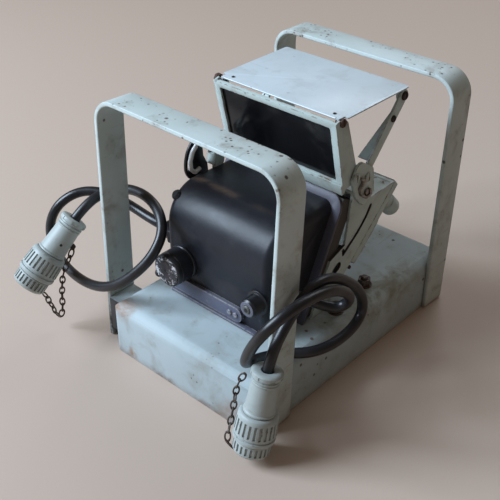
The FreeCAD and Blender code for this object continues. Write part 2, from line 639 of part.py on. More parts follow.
def hood_top_plate():
    x0, x1 = half_span(HOOD_TOP_HALF)
    near = TOP_PIVOT[0] - 1.8
    under = HOOD_TOP_Z - HOOD_TOP_T
    step = TOP_PIVOT[0] + 4.2
    notch = HOOD_TOP_HALF - FRAME_HALF + SIDE_GAP + FLANGE_T + SIDE_GAP
    outline = [(x0 + notch, near), (x1 - notch, near), (x1 - notch, step), (x1, step), (x1, HOOD_FAR_Y),
               (x0, HOOD_FAR_Y), (x0, step), (x0 + notch, step)]
    plate = prism_z(outline, under, HOOD_TOP_Z, [1, 1, 0.5, 1, 2, 2, 1, 0.5])
    lips = [box(x0 + 6, x1 - 6, HOOD_FAR_Y - HOOD_TOP_T, HOOD_FAR_Y, under - 4.5, under)]
    tab_out = half_span(FRAME_HALF - SIDE_GAP - FLANGE_T - SIDE_GAP)
    pieces = [plate] + lips
    for start in (tab_out[0], tab_out[1] - TAB_T):
        for (y, z), radius in ((TOP_PIVOT, 3.4), (STRUT_PIVOT, 4.6)):
            tab = join(rod(radius, (start, y, z), (1, 0, 0), TAB_T),
                       box(start, start + TAB_T, y - radius, y + radius, z, HOOD_TOP_Z))
            pieces.append(tab.common(box(x0, x1, near, HOOD_FAR_Y, 150, under)))
    plate = join(pieces[0], *pieces[1:])
    for y, z in (TOP_PIVOT, STRUT_PIVOT):
        plate = plate.cut(rod(PIN_R + RUN_CLEAR, (x0 - 5, y, z), (1, 0, 0), 200))
    return plate


def strut_pin():
    """Hinge screw at the right far corner of the hood."""
    x1 = half_span(FRAME_HALF)[1] - SIDE_GAP
    start = x1 - FLANGE_T - SIDE_GAP - TAB_T - 1.5
    pin = rod(PIN_R, (start, STRUT_PIVOT[0], STRUT_PIVOT[1]), (1, 0, 0), x1 - start)
    head = slotted_screw(3.4, 1.8, (x1, STRUT_PIVOT[0], STRUT_PIVOT[1]), (1, 0, 0))
    return join(pin, head)


def strut_point(along, across):
    """(Y, Z) of a point along the strut from its hinge, across towards the hood's near side."""
    dy, dz = STRUT_FOOT[0] - STRUT_PIVOT[0], STRUT_FOOT[1] - STRUT_PIVOT[1]
    length = math.hypot(dy, dz)
    dy, dz = dy / length, dz / length
    return (STRUT_PIVOT[0] + along * dy + across * dz, STRUT_PIVOT[1] + along * dz - across * dy)


def hood_strut():
    x1 = half_span(FRAME_HALF)[1] - SIDE_GAP
    x0 = x1 - FLANGE_T
    foot = STRUT_LEN + 3.0
    corners = ((-4.6, 4.8), (-4.6, -4.8), (foot, -4.0), (foot, 4.0))
    outline = [strut_point(along, across) for along, across in corners]
    plate = prism_x(outline, x0, x1, [4.5, 4.5, 2.5, 2.5])
    y, z = strut_point(18.5, 0.0)
    stud = slotted_screw(2.6, 1.6, (x1, y, z), (1, 0, 0))
    strut = join(plate, strut_flange(x0), stud)
    return strut.cut(rod(PIN_R, (x0 - 20, STRUT_PIVOT[0], STRUT_PIVOT[1]), (1, 0, 0), 40))


def strut_flange(x0):
    """Wedge turned in along the strut's near edge, deepest at the foot."""
    apex, deep = STRUT_LEN * 0.22, STRUT_LEN - 5.0
    spots = ((apex, x0), (deep, x0 - STRUT_FLANGE), (deep, x0))
    corners = [V(x, *strut_point(along, 2.3)) for along, x in spots]
    thickness = V(0, *strut_point(0.0, 3.7)) - V(0, *strut_point(0.0, 2.3))
    return Part.Face(rounded_wire(corners, 0)).extrude(thickness)


def ear():
    x0 = half_span(FRAME_HALF)[1]
    outline = [(5.0, 147.0), (12.5, 161.5), (30.5, 150.0), (33.5, 128.0), (21.0, 121.0), (11.5, 131.0)]
    plate = prism_x(outline, x0, x0 + EAR_T, [5, 6, 6, 4, 4, 4])
    plate = plate.cut(rod(SCREW_R, (x0 - 1, PANEL_PIVOT[0], PANEL_PIVOT[1]), (1, 0, 0), 8))
    stop = strut_point(STRUT_LEN + 3.0 + SCREW_R + SIDE_GAP, 0.0)
    return join(plate, ear_screw(*stop))


def ear_screw(y, z):
    """Shouldered screw through the right ear."""
    x0 = half_span(FRAME_HALF)[1]
    reach = 2.6
    shank = rod(SCREW_R, (x0 - reach, y, z), (1, 0, 0), reach + EAR_T)
    head = slotted_screw(3.6, 1.8, (x0 + EAR_T, y, z), (1, 0, 0))
    return join(shank, head)


def strut_clip():
    """S-shaped spring clip on the right ear."""
    x0 = half_span(FRAME_HALF)[1] + EAR_T
    line = [(14.4, 146.6), (17.6, 144.6), (16.2, 141.4), (13.6, 138.6),
            (15.4, 133.4), (21.2, 128.8), (26.4, 129.8), (25.8, 134.0)]
    wire = path_slot(line, x0, x0 + 2.6, 1.9)
    rivet = rod(2.0, (x0, 22.6, 133.0), (1, 0, 0), 1.8)
    return join(wire, rivet, box(x0, x0 + 1.2, 21.8, 23.4, 129.0, 133.0))


# ---- latch on the left ----------------------------------------------------------
def latch_bracket():
    x0 = LATCH_X1 - 9.0
    cheek = [(-22.0, 131.5), (-21.0, 143.0), (-19.0, 149.5), (-12.0, 149.5), (-10.0, 143.0), (-12.0, 131.5)]
    clevis = prism_x(cheek, x0, LATCH_X1, [1, 2, 3, 3, 2, 1])
    leg = [(-22.0, 112.0), (-22.0, 133.0), (-12.5, 133.0), (-15.0, 112.0)]
    block = join(clevis, prism_x(leg, LATCH_X1 - 3.0, LATCH_X1, [2, 0, 0, 2]))
    block = block.cut(box(x0 + 1.3, LATCH_X1 - 1.8, -30, 0, 140.5, 160))
    pin = rod(PIN_R, (x0 - 0.6, LATCH_PIN[0], LATCH_PIN[1]), (1, 0, 0), 10.2)
    return join(block, pin)


def latch_hook():
    """Round steel bar bent to a J, on a flat link that turns on the latch pin."""
    x = LATCH_X1 - 6.1
    line = ((-25.5, 153.0), (-34.0, 153.6), (-39.3, 148.2), (-42.0, 141.6),
            (-41.6, 134.6), (-37.4, 130.2), (-32.2, 132.4))
    points = [V(x, y, z) for y, z in line]
    wire = rounded_wire(points, [0, 3, 5, 6, 4, 2.6, 0], False)
    ring = Part.Wire([Part.makeCircle(1.7, points[0], points[1] - points[0])])
    bar = wire.makePipeShell([ring], True, False)
    eye = rod(3.4, (x - 0.8, LATCH_PIN[0], LATCH_PIN[1]), (1, 0, 0), 2.0)
    link = prism_x([(-15.5, 144.5), (-15.5, 148.6), (-27.5, 154.4), (-27.5, 151.4)], x - 0.8, x + 0.8)
    hook = join(bar, eye, link)
    return hook.cut(rod(PIN_R + RUN_CLEAR, (x - 5, LATCH_PIN[0], LATCH_PIN[1]), (1, 0, 0), 10))


def beside(points, shift):
    """The same line moved sideways by `shift`, point by point."""
    moved = []
    for i, (y, z) in enumerate(points):
        ya, za = points[max(i - 1, 0)]
        yb, zb = points[min(i + 1, len(points) - 1)]
        size = math.hypot(yb - ya, zb - za)
        moved.append((y - (zb - za) / size * shift, z + (yb - ya) / size * shift))
    return moved


def latch_strap():
    """Rubber strap: a bowed band, a web beside the hook and an eye on the latch pin."""
    x = LATCH_X1 - 4.1
    line = [(-19.0, 150.5), (-28.5, 158.0), (-38.5, 158.3), (-44.6, 151.6),
            (-47.8, 143.4), (-48.2, 135.0), (-45.2, 127.6), (-38.4, 123.6)]
    outline = beside(line, 1.2) + beside(line, -1.2)[::-1]
    band = prism_x(outline, x, x + 2.0, [0, 6, 6, 7, 7, 6, 6, 0, 0, 4, 4, 5, 5, 4, 4, 0])
    wide = prism_x(outline[2:7] + outline[9:14], x - 3.6, x + 3.6, [0, 6, 7, 6, 0, 0, 4, 5, 4, 0])
    patch = [(-17.5, 150.0), (-26.0, 154.5), (-36.0, 155.0), (-44.0, 144.0),
             (-36.0, 138.0), (-26.0, 136.0), (-23.0, 143.0)]
    web = prism_x(patch, x, x + 1.6, [0, 3, 4, 4, 4, 3, 2])
    eye = rod(4.4, (x, LATCH_PIN[0], LATCH_PIN[1]), (1, 0, 0), 2.0)
    strap = join(band, wide, web, eye)
    return strap.cut(rod(PIN_R + RUN_CLEAR, (x - 5, LATCH_PIN[0], LATCH_PIN[1]), (1, 0, 0), 10))


# ---- leads and connectors ---------------------------------------------------------
def unit(direction):
    return V(*direction).normalize()


def conn_rear(tip, direction):
    return V(*tip) - unit(direction) * CONN_LEN


def lead_points(route, tip, direction):
    rear = conn_rear(tip, direction)
    return [V(*p) for p in route] + [rear - unit(direction) * 13.0, rear + unit(direction) * CORD_SEAT]


def lead(route, tip, direction):
    points = lead_points(route, tip, direction)
    radii = [0.0]
    for before, here, after in zip(points, points[1:], points[2:]):
        run = min((here - before).Length, (after - here).Length)
        turn = (here - before).getAngle(after - here)
        radii.append(0.45 * run / math.tan(turn / 2.0))
    radii.append(0.0)
    print("smallest bend radius %.1f" % min(r for r in radii if r > 0))
    wire = rounded_wire(points, radii, False)
    ring = Part.Wire([Part.makeCircle(CORD_R, points[0], points[1] - points[0])])
    tube = wire.makePipeShell([ring], True, False)
    ratio = tube.Volume / (math.pi * CORD_R ** 2 * wire.Length)
    print("lead length %.1f, volume ratio %.4f" % (wire.Length, ratio))
    return tube


def seated(shape, tip, direction):
    """Places a piece drawn along +Z from the connector's rear rim."""
    turn = FreeCAD.Rotation(V(0, 0, 1), unit(direction))
    return placed(shape, conn_rear(tip, direction), turn)


def conn_gland():
    nut = Part.makeCylinder(CONN_BODY_R, 12.0)
    nut = nut.makeChamfer(1.5, [nut.Edges[2]])
    flat = Part.makeBox(3.0, 6.0, 8.0, V(CONN_BODY_R - 0.9, -3.0, 2.5))
    for i in range(8):
        nut = nut.cut(flat.rotated(V(0, 0, 0), V(0, 0, 1), 45 * i))
    return nut.cut(Part.makeCylinder(CORD_R, CORD_SEAT))


def conn_body():
    body = Part.makeCylinder(CONN_BODY_R - 0.8, 20.0, V(0, 0, 12.0))
    lug = Part.makeBox(4.0, 5.0, 3.0, V(CONN_BODY_R - 1.5, -2.5, 16.0))
    neck = Part.makeCylinder(CONN_BODY_R - 3.0, CONN_SPLIT + 1.0 - 32.0, V(0, 0, 32.0))
    return join(body, neck, lug)


def ribbed(shape, radius, depth, low, high, count):
    """Cuts flat-bottomed slots along a sleeve, evenly round it."""
    width = math.pi * radius / count
    for i in range(count):
        slot = Part.makeBox(2 * depth, width, high - low, V(radius - depth, -width / 2, low))
        slot.rotate(V(0, 0, 0), V(0, 0, 1), 360.0 * i / count)
        shape = shape.cut(slot)
    return shape


def conn_coupling():
    nut = Part.makeCylinder(CONN_NUT_R, CONN_SPLIT - 33.3, V(0, 0, 33.0))
    nut = nut.makeChamfer(1.6, [nut.Edges[2]])
    nut = ribbed(nut, CONN_NUT_R, 1.2, 37.5, 47.5, 12)
    nut = nut.cut(groove_ring(CONN_NUT_R, 0.8, 50.0))
    return nut.cut(Part.makeCylinder(CONN_BODY_R - 3.0 + RUN_CLEAR, 40.0, V(0, 0, 20.0)))


def conn_cap():
    cap = Part.makeCylinder(CONN_CAP_R, CONN_LEN - CONN_SPLIT, V(0, 0, CONN_SPLIT))
    cap = cap.makeChamfer(2.4, [cap.Edges[0]])
    cap = ribbed(cap, CONN_CAP_R, 0.9, CONN_SPLIT + 1.6, CONN_SPLIT + 7.4, 12)
    hollow = Part.makeCylinder(CONN_BODY_R - 3.0 + RUN_CLEAR, 1.6, V(0, 0, CONN_SPLIT - 0.2))
    return cap.cut(hollow)


def oval(length, width, low, high):
    """Eight-sided plate, the flat of one chain link."""
    cut = width * 0.3
    x, y = length / 2, width / 2
    corners = [(x - cut, y), (cut - x, y), (-x, y - cut), (-x, cut - y),
               (cut - x, -y), (x - cut, -y), (x, cut - y), (x, y - cut)]
    return prism_z(corners, low, high)


def chain(points):
    """Flat oval links set a quarter turn apart along a hanging line."""
    line = rounded_wire([V(*p) for p in points], [0] + [2.0] * (len(points) - 2) + [0], False)
    count = int(line.Length / LINK_PITCH)
    spots = line.discretize(Number=2 * count + 1)
    links = []
    for i in range(count):
        plate = oval(8.2, 5.0, -0.5, 0.5).cut(oval(6.0, 2.8, -1, 1))
        plate.rotate(V(0, 0, 0), V(1, 0, 0), 90 * (i % 2))
        aim = FreeCAD.Rotation(V(1, 0, 0), spots[2 * i + 2] - spots[2 * i])
        links.append(placed(plate, spots[2 * i + 1], aim))
    return Part.makeCompound(links)


# ---- write every piece --------------------------------------------------------------
def build():
    left = (LEFT_CONN_TIP, LEFT_CONN_DIR)
    right = (RIGHT_CONN_TIP, RIGHT_CONN_DIR)
    gland = cord_gland()
    frame_side = half_span(FRAME_HALF)[1]
    pieces = {
        "base_pan": base_pan(),
        "near_guard_hoop": near_guard_hoop(),
        "far_guard_hoop": far_guard_hoop(),
        "near_hoop_spacer": hoop_spacer(NEAR_HOOP_Y + 0.3),
        "far_hoop_spacer": hoop_spacer(FAR_HOOP_Y),
        "pan_nuts": Part.makeCompound([pan_nut(frame_side + 7.0, -12.0), pan_nut(frame_side + 2.5, 30.0)]),
        "head_shell": head_shell(),
        "rim_frame": rim_frame(),
        "throat_sleeve": throat_sleeve(),
        "foot_strip": foot_strip(),
        "foot_screws": foot_screws(),
        "shell_screw": shell_screw(),
        "knob_collar": knob_collar(),
        "selector_knob": selector_knob(),
        "button_bezel": button_bezel(),
        "push_button": push_button(),
        "left_cord_gland": gland,
        "right_cord_gland": mirrored(gland),
        "front_frame": front_frame(),
        "front_door": front_door(),
        "door_hinge_pin": door_hinge_pin(),
        "door_knob": door_knob(),
        "lens_bezel": lens_bezel(),
        "lens_gasket": lens_gasket(),
        "fresnel_lens": fresnel_lens(),
        "reflector": reflector(),
        "lamp_socket": lamp_socket(),
        "lamp_bulb": lamp_bulb(),
        "socket_bracket": socket_bracket(),
        "hood_near_panel": hood_near_panel(),
        "hood_dark_pane": hood_dark_pane(),
        "pane_retainer": pane_retainer(),
        "hood_top_plate": hood_top_plate(),
        "latch_bracket": latch_bracket(),
        "latch_hook": latch_hook(),
        "latch_strap": latch_strap(),
        "strut_clip": strut_clip(),
        "left_cap_chain": chain(LEFT_CHAIN),
        "right_cap_chain": chain(RIGHT_CHAIN),
        "left_lead": lead(LEFT_ROUTE, *left),
        "right_lead": lead(RIGHT_ROUTE, *right),
    }
    paired = {
        "hood_strut": hood_strut(),
        "strut_pin": strut_pin(),
        "top_pivot_pin": top_pivot_pin(),
        "hood_ear": ear(),
        "panel_pivot_screw": ear_screw(*PANEL_PIVOT),
    }
    for name, shape in paired.items():
        pieces["right_" + name] = shape
        pieces["left_" + name] = mirrored(shape)
    for side, place in (("left", left), ("right", right)):
        pieces[side + "_plug_gland"] = seated(conn_gland(), *place)
        pieces[side + "_plug_body"] = seated(conn_body(), *place)
        pieces[side + "_plug_coupling"] = seated(conn_coupling(), *place)
        pieces[side + "_plug_cap"] = seated(conn_cap(), *place)
    os.makedirs("parts", exist_ok=True)
    for name in os.listdir("parts"):
        os.remove(os.path.join("parts", name))
    for name, shape in pieces.items():
        good = shape.isValid() and len(shape.Solids) >= 1
        if not good or len(shape.Solids) > 1:
            print("CHECK", name, "valid", shape.isValid(), "solids", len(shape.Solids))
        shape.exportStep("parts/" + name + ".step")
    print(len(pieces), "pieces")


build()
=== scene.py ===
# Dresses the floor spotlight: paint, rubber, glass and metal, the two leads with
# their plugs and cap chains, the selector knob, screws, rivets and eased edges.
# Metres, except that profiles, routes and places scaled by MM are in millimetres.
import bpy, bmesh, json, math
from mathutils import Matrix, Vector

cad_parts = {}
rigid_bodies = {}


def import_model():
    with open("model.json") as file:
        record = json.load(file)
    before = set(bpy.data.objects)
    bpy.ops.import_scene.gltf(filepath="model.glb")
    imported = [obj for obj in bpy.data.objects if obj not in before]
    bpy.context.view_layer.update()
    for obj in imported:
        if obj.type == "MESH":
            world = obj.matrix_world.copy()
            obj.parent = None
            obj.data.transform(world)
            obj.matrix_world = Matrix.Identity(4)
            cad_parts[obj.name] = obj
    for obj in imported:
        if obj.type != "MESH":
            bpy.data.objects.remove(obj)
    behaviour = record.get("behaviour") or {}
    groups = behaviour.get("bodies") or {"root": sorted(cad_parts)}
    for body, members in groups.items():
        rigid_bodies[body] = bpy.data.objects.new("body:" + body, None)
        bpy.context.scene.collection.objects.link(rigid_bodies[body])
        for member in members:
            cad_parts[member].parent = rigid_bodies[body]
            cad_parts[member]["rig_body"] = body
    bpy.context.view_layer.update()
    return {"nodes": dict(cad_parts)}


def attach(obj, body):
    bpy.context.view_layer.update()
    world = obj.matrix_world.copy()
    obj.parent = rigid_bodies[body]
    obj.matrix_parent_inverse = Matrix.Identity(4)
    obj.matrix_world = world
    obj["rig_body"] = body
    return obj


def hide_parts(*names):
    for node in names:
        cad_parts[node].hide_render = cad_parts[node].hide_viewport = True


for thing in list(bpy.data.objects):
    bpy.data.objects.remove(thing)
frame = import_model()
nodes = frame["nodes"]
MM = 0.001


# ---- places on the part, in millimetres ----------------------------------------------
HEAD_X = 3.0                      # middle plane of head, frame and hood
FRAME_HALF = 57.0                 # half the width of the front frame
HINGE_Y, HINGE_Z = -7.2, 196.8    # axis of the hood's top hinge
HOOD_TOP_Z = 199.5
RIVET_HALF = 47.0                 # from the middle plane to a rivet in the hood's top
KNOB_FOOT = (-32.0, -75.3, 76.5)
BUTTON_MIDDLE = (43.0, -85.7, 75.5)
SHELL_SCREW_FOOT = (-47.3, -61.0, 122.2)
SHELL_SCREW_AIM = (-0.25, -0.62, 0.74)
FRAME_HEART = (HEAD_X, 32.0, 88.0)    # inside the front frame's hollow


# ---- camera, light and floor ---------------------------------------------------------
CAMERA_PLACE = (0.3838, -0.4540, 0.4578)
CAMERA_AIM = (-0.06404, 0.03725, 0.01923)
LENS_LENGTH, SENSOR_WIDTH = 64.9, 36.0
LENS_SHIFT = (-0.0016, -0.0013)
WINDOW_TINT, FAR_TINT = (0.68, 0.83, 1.0), (0.86, 0.93, 1.0)
ROOM_TINT, ROOM_STRENGTH = (1.0, 0.84, 0.70, 1.0), 0.16
FLOOR_TONE, FLOOR_ROUGHNESS = (0.525, 0.41, 0.335, 1.0), 0.55
FLOOR_HALF = 4.0


def placed(name, data):
    """A new object of some data, linked into the scene."""
    made = bpy.data.objects.new(name, data)
    bpy.context.scene.collection.objects.link(made)
    return made


def towards(place, aim):
    """Turn of a camera or a lamp that stands at a place and looks at the aim."""
    return (Vector(aim) - Vector(place)).to_track_quat("-Z", "Y").to_euler()


def make_camera():
    """The main camera, with the plain view transform."""
    data = bpy.data.cameras.new("camera")
    data.lens = LENS_LENGTH
    data.sensor_width = SENSOR_WIDTH
    data.shift_x, data.shift_y = LENS_SHIFT
    camera = placed("camera", data)
    camera.location = CAMERA_PLACE
    camera.rotation_euler = towards(CAMERA_PLACE, CAMERA_AIM)
    bpy.context.scene.camera = camera
    bpy.context.scene.view_settings.view_transform = "Standard"


def soft_lamp(name, place, aim, size, watts, tint):
    """A rectangular area lamp; size is its width and height."""
    data = bpy.data.lights.new(name, "AREA")
    data.shape = "RECTANGLE"
    data.size, data.size_y = size
    data.energy = watts
    data.color = tint
    lamp = placed(name, data)
    lamp.location = place
    lamp.rotation_euler = towards(place, aim)


def make_light():
    """A cool window high on the left, a weak one behind, and a warm dim room."""
    soft_lamp("window light", (-1.15, -1.18, 1.21), (0, 0, 0.06), (1.0, 1.0), 70.0, WINDOW_TINT)
    soft_lamp("far light", (-0.4, 1.6, 1.3), (0, 0, 0.1), (1.2, 0.9), 10.0, FAR_TINT)
    world = bpy.data.worlds.new("room")
    bpy.context.scene.world = world
    world.use_nodes = True
    back = world.node_tree.nodes["Background"]
    back.inputs["Color"].default_value = ROOM_TINT
    back.inputs["Strength"].default_value = ROOM_STRENGTH


def make_floor():
    """A plain pale floor."""
    bm = bmesh.new()
    bmesh.ops.create_grid(bm, x_segments=1, y_segments=1, size=FLOOR_HALF)
    mesh = bpy.data.meshes.new("floor")
    bm.to_mesh(mesh)
    bm.free()
    floor = placed("floor", mesh)
    material = bpy.data.materials.new("floor")
    material.use_nodes = True
    shader = material.node_tree.nodes["Principled BSDF"]
    shader.inputs["Base Color"].default_value = FLOOR_TONE
    shader.inputs["Roughness"].default_value = FLOOR_ROUGHNESS
    mesh.materials.append(material)


# ---- node helpers --------------------------------------------------------------------
def start(name):
    """A new node material, with its tree and shader."""
    material = bpy.data.materials.new(name)
    material.use_nodes = True
    tree = material.node_tree
    return material, tree, tree.nodes["Principled BSDF"]


def add(tree, kind, inputs=None, **settings):
    """A new shader node; an input is a socket to link or a value to set."""
    node = tree.nodes.new("ShaderNode" + kind)
    for key, value in settings.items():
        setattr(node, key, value)
    for key, value in (inputs or {}).items():
        if isinstance(value, bpy.types.NodeSocket):
            tree.links.new(value, node.inputs[key])
        else:
            node.inputs[key].default_value = value
    return node


def on_object(tree, stretch=(1, 1, 1), turn=(0, 0, 0)):
    """Object coordinates, scaled and turned."""
    place = add(tree, "TexCoord").outputs["Object"]
    settings = {"Vector": place, "Rotation": turn, "Scale": stretch}
    return add(tree, "Mapping", settings).outputs["Vector"]


def noise(tree, place, scale, detail=4.0, rough=0.55, twist=0.0):
    """Smooth noise from 0 to 1."""
    settings = {"Vector": place, "Scale": scale, "Detail": detail, "Roughness": rough, "Distortion": twist}
    return add(tree, "TexNoise", settings).outputs["Fac"]


def dots(tree, place, scale, radius):
    """1 in a round spot in each cell of a scattered grid, 0 between them."""
    cells = add(tree, "TexVoronoi", {"Vector": place, "Scale": scale, "Randomness": 1.0})
    return band(tree, cells.outputs["Distance"], radius, radius * 0.5)


def band(tree, value, low, high):
    """0 below low and 1 above high, smooth between; the ends may be the other way round."""
    settings = {"Value": value, "From Min": low, "From Max": high}
    return add(tree, "MapRange", settings, interpolation_type="SMOOTHSTEP").outputs["Result"]


def scaled(tree, value, low, high):
    """0 becomes low and 1 becomes high."""
    settings = {"Value": value, "To Min": low, "To Max": high}
    return add(tree, "MapRange", settings).outputs["Result"]


def calc(tree, operation, a, b):
    """One step of arithmetic."""
    return add(tree, "Math", {0: a, 1: b}, operation=operation).outputs["Value"]


def times(tree, *factors):
    """The product of all factors."""
    product = factors[0]
    for factor in factors[1:]:
        product = calc(tree, "MULTIPLY", product, factor)
    return product


def most(tree, *values):
    """The largest of the values."""
    top = values[0]
    for value in values[1:]:
        top = calc(tree, "MAXIMUM", top, value)
    return top


def blend(tree, factor, a, b):
    """Colour a where factor is 0, colour b where it is 1."""
    mix = add(tree, "Mix", data_type="RGBA")
    for index, value in ((0, factor), (6, a), (7, b)):
        if isinstance(value, bpy.types.NodeSocket):
            tree.links.new(value, mix.inputs[index])
        elif index == 0:
            mix.inputs[0].default_value = value
        else:
            mix.inputs[index].default_value = (*value, 1.0)
    return mix.outputs[2]


def edges_of(tree, radius):
    """1 along sharp edges, 0 on open faces."""
    rounded = add(tree, "Bevel", {"Radius": radius}, samples=6).outputs["Normal"]
    plain = add(tree, "NewGeometry").outputs["Normal"]
    match = add(tree, "VectorMath", {0: rounded, 1: plain}, operation="DOT_PRODUCT").outputs["Value"]
    return band(tree, match, 0.995, 0.90)


def corners_of(tree, reach):
    """1 in corners and grooves, 0 in the open."""
    open_air = add(tree, "AmbientOcclusion", {"Distance": reach}, samples=6).outputs["AO"]
    return band(tree, open_air, 0.80, 0.25)


def relief(tree, shader, height, strength, depth):
    """Bumps the shader's surface."""
    bump = add(tree, "Bump", {"Height": height, "Strength": strength, "Distance": depth})
    tree.links.new(bump.outputs["Normal"], shader.inputs["Normal"])


def near_point(tree, centre, reach, squeeze=(1, 1, 1)):
    """1 at a point of the object, fading to 0 at reach; a squeeze under 1 draws the spot out that way."""
    place = add(tree, "TexCoord").outputs["Object"]
    away = add(tree, "VectorMath", {0: place, 1: centre}, operation="SUBTRACT").outputs["Vector"]
    away = add(tree, "VectorMath", {0: away, 1: squeeze}, operation="MULTIPLY").outputs["Vector"]
    size = add(tree, "VectorMath", {0: away}, operation="LENGTH").outputs["Value"]
    return band(tree, size, reach, reach * 0.2)


def higher_than(tree, height, fade):
    """1 above a height over the floor, fading to 0 below it."""
    place = add(tree, "TexCoord").outputs["Object"]
    level = add(tree, "SeparateXYZ", {"Vector": place}).outputs["Z"]
    return band(tree, level, height - fade, height)


# ---- materials -----------------------------------------------------------------------
RUST_DARK = (0.045, 0.022, 0.014)
RUST_BROWN = (0.16, 0.075, 0.038)
RUST_ORANGE = (0.30, 0.15, 0.075)
OLD_GREASE = (0.17, 0.15, 0.085)
RUBBED_BROWN = (0.13, 0.085, 0.060)
FOOT_NEAR_BLACK = (0.009, 0.008, 0.007)
GLASS_DUST = (0.42, 0.40, 0.38)


def scratch_lines(tree, where):
    """Long fine scratches in two directions, kept to the places given."""
    along = noise(tree, on_object(tree, (14, 260, 190), turn=(0.3, 0.5, 0.2)), 1.0, 3.0)
    cross = noise(tree, on_object(tree, (240, 18, 150), turn=(0.1, -0.4, 0.7)), 1.0, 3.0)
    lines = most(tree, band(tree, along, 0.66, 0.74), band(tree, cross, 0.67, 0.74))
    return times(tree, lines, where)


def soiled(tree, coat, cloud, middle, grime_and_shade, dirt, scuffs, stains):
    """A coat with dirt in patches and scratches, dirt and painted shade in its corners and creases, and
    with its stains.
    """
    coat = blend(tree, times(tree, band(tree, middle, 0.47, 0.78), dirt), coat, grime_and_shade)
    # Ambient occlusion darkens corners and creases in the dirt colour: painted shade as well as dirt.
    creases = times(tree, corners_of(tree, 0.009), scaled(tree, middle, 0.15, 0.85))
    coat = blend(tree, creases, coat, grime_and_shade)
    lines = scratch_lines(tree, band(tree, cloud, 0.40, 0.62))
    coat = blend(tree, times(tree, lines, scuffs), coat, grime_and_shade)
    for colour, centre, reach, strength, squeeze in stains:
        spot = near_point(tree, centre, reach, squeeze)
        coat = blend(tree, times(tree, spot, band(tree, middle, 0.34, 0.62), strength), coat, colour)
    return coat


def chipped(tree, place, cloud, middle, fine, wear, specks, pitted_from):
    """1 where the coat is gone: broken edges, small specks, a few larger chips and pitted tops."""
    ragged = band(tree, fine, 0.62 - 0.24 * wear, 0.70 - 0.20 * wear)
    broken = times(tree, edges_of(tree, 0.0014), ragged)
    small = times(tree, dots(tree, place, 210.0, 0.20), band(tree, middle, 0.60 - 0.1 * specks, 0.68))
    large = times(tree, dots(tree, place, 62.0, 0.11), band(tree, cloud, 0.46, 0.54))
    chips = most(tree, broken, times(tree, most(tree, small, large), specks))
    if pitted_from is None:
        return chips
    pits = times(tree, dots(tree, place, 230.0, 0.27), band(tree, middle, 0.46, 0.53))
    return most(tree, chips, times(tree, pits, higher_than(tree, pitted_from, 0.002), 0.85))


def enamel(name, tone, second, grime_and_shade, wear=0.5, specks=0.4, gloss=0.40, chip=RUST_DARK, bruise=RUST_BROWN,
           dirt=0.6, scuffs=0.35, stains=(), pitted_from=None, skin=0.25, shine=0.5):
    """Stoved paint over steel: a mottled coat with dirt, painted shade in its corners, scuffs, stains,
    chipped edges and rust specks.
    """
    material, tree, shader = start(name)
    place = on_object(tree)
    cloud = noise(tree, place, 11.0, 5.0)
    middle = noise(tree, place, 46.0, 6.0, 0.62, 0.4)
    fine = noise(tree, place, 170.0, 5.0, 0.65)
    coat = blend(tree, band(tree, cloud, 0.36, 0.66), tone, second)
    coat = soiled(tree, coat, cloud, middle, grime_and_shade, dirt, scuffs, stains)
    chips = chipped(tree, place, cloud, middle, fine, wear, specks, pitted_from)
    halo = times(tree, edges_of(tree, 0.0024), band(tree, middle, 0.52, 0.68), 0.40 * wear)
    coat = blend(tree, halo, coat, bruise)
    bare = blend(tree, band(tree, fine, 0.45, 0.6), chip, bruise)
    tree.links.new(blend(tree, chips, coat, bare), shader.inputs["Base Color"])
    dull = calc(tree, "ADD", scaled(tree, middle, gloss - 0.08, gloss + 0.16), times(tree, chips, 0.4))
    tree.links.new(dull, shader.inputs["Roughness"])
    shader.inputs["Specular IOR Level"].default_value = shine
    height = calc(tree, "SUBTRACT", times(tree, fine, skin), chips)
    relief(tree, shader, height, 0.55, 0.00022)
    return material


def bare_metal(name, tone, rust, amount, gloss):
    """Steel or brass with fine brushing, dark pits and a bloom of rust."""
    material, tree, shader = start(name)
    place = on_object(tree)
    fine = noise(tree, place, 420.0, 4.0, 0.6)
    cloud = noise(tree, place, 90.0, 5.0, 0.6, 0.5)
    brushed = noise(tree, on_object(tree, (60, 60, 900)), 1.0, 3.0)
    shaded = tuple(0.6 * channel for channel in tone)
    base = blend(tree, band(tree, brushed, 0.35, 0.7), tone, shaded)
    rusted = band(tree, cloud, 0.62 - 0.3 * amount, 0.74 - 0.2 * amount)
    worn = most(tree, rusted, times(tree, corners_of(tree, 0.003), min(1.0, 2.0 * amount)))
    tree.links.new(blend(tree, worn, base, rust), shader.inputs["Base Color"])
    tree.links.new(calc(tree, "SUBTRACT", 1.0, worn), shader.inputs["Metallic"])
    dull = calc(tree, "ADD", scaled(tree, fine, gloss - 0.08, gloss + 0.12), times(tree, worn, 0.35))
    tree.links.new(dull, shader.inputs["Roughness"])
    relief(tree, shader, calc(tree, "ADD", fine, times(tree, worn, 0.6)), 0.4, 0.00012)
    return material


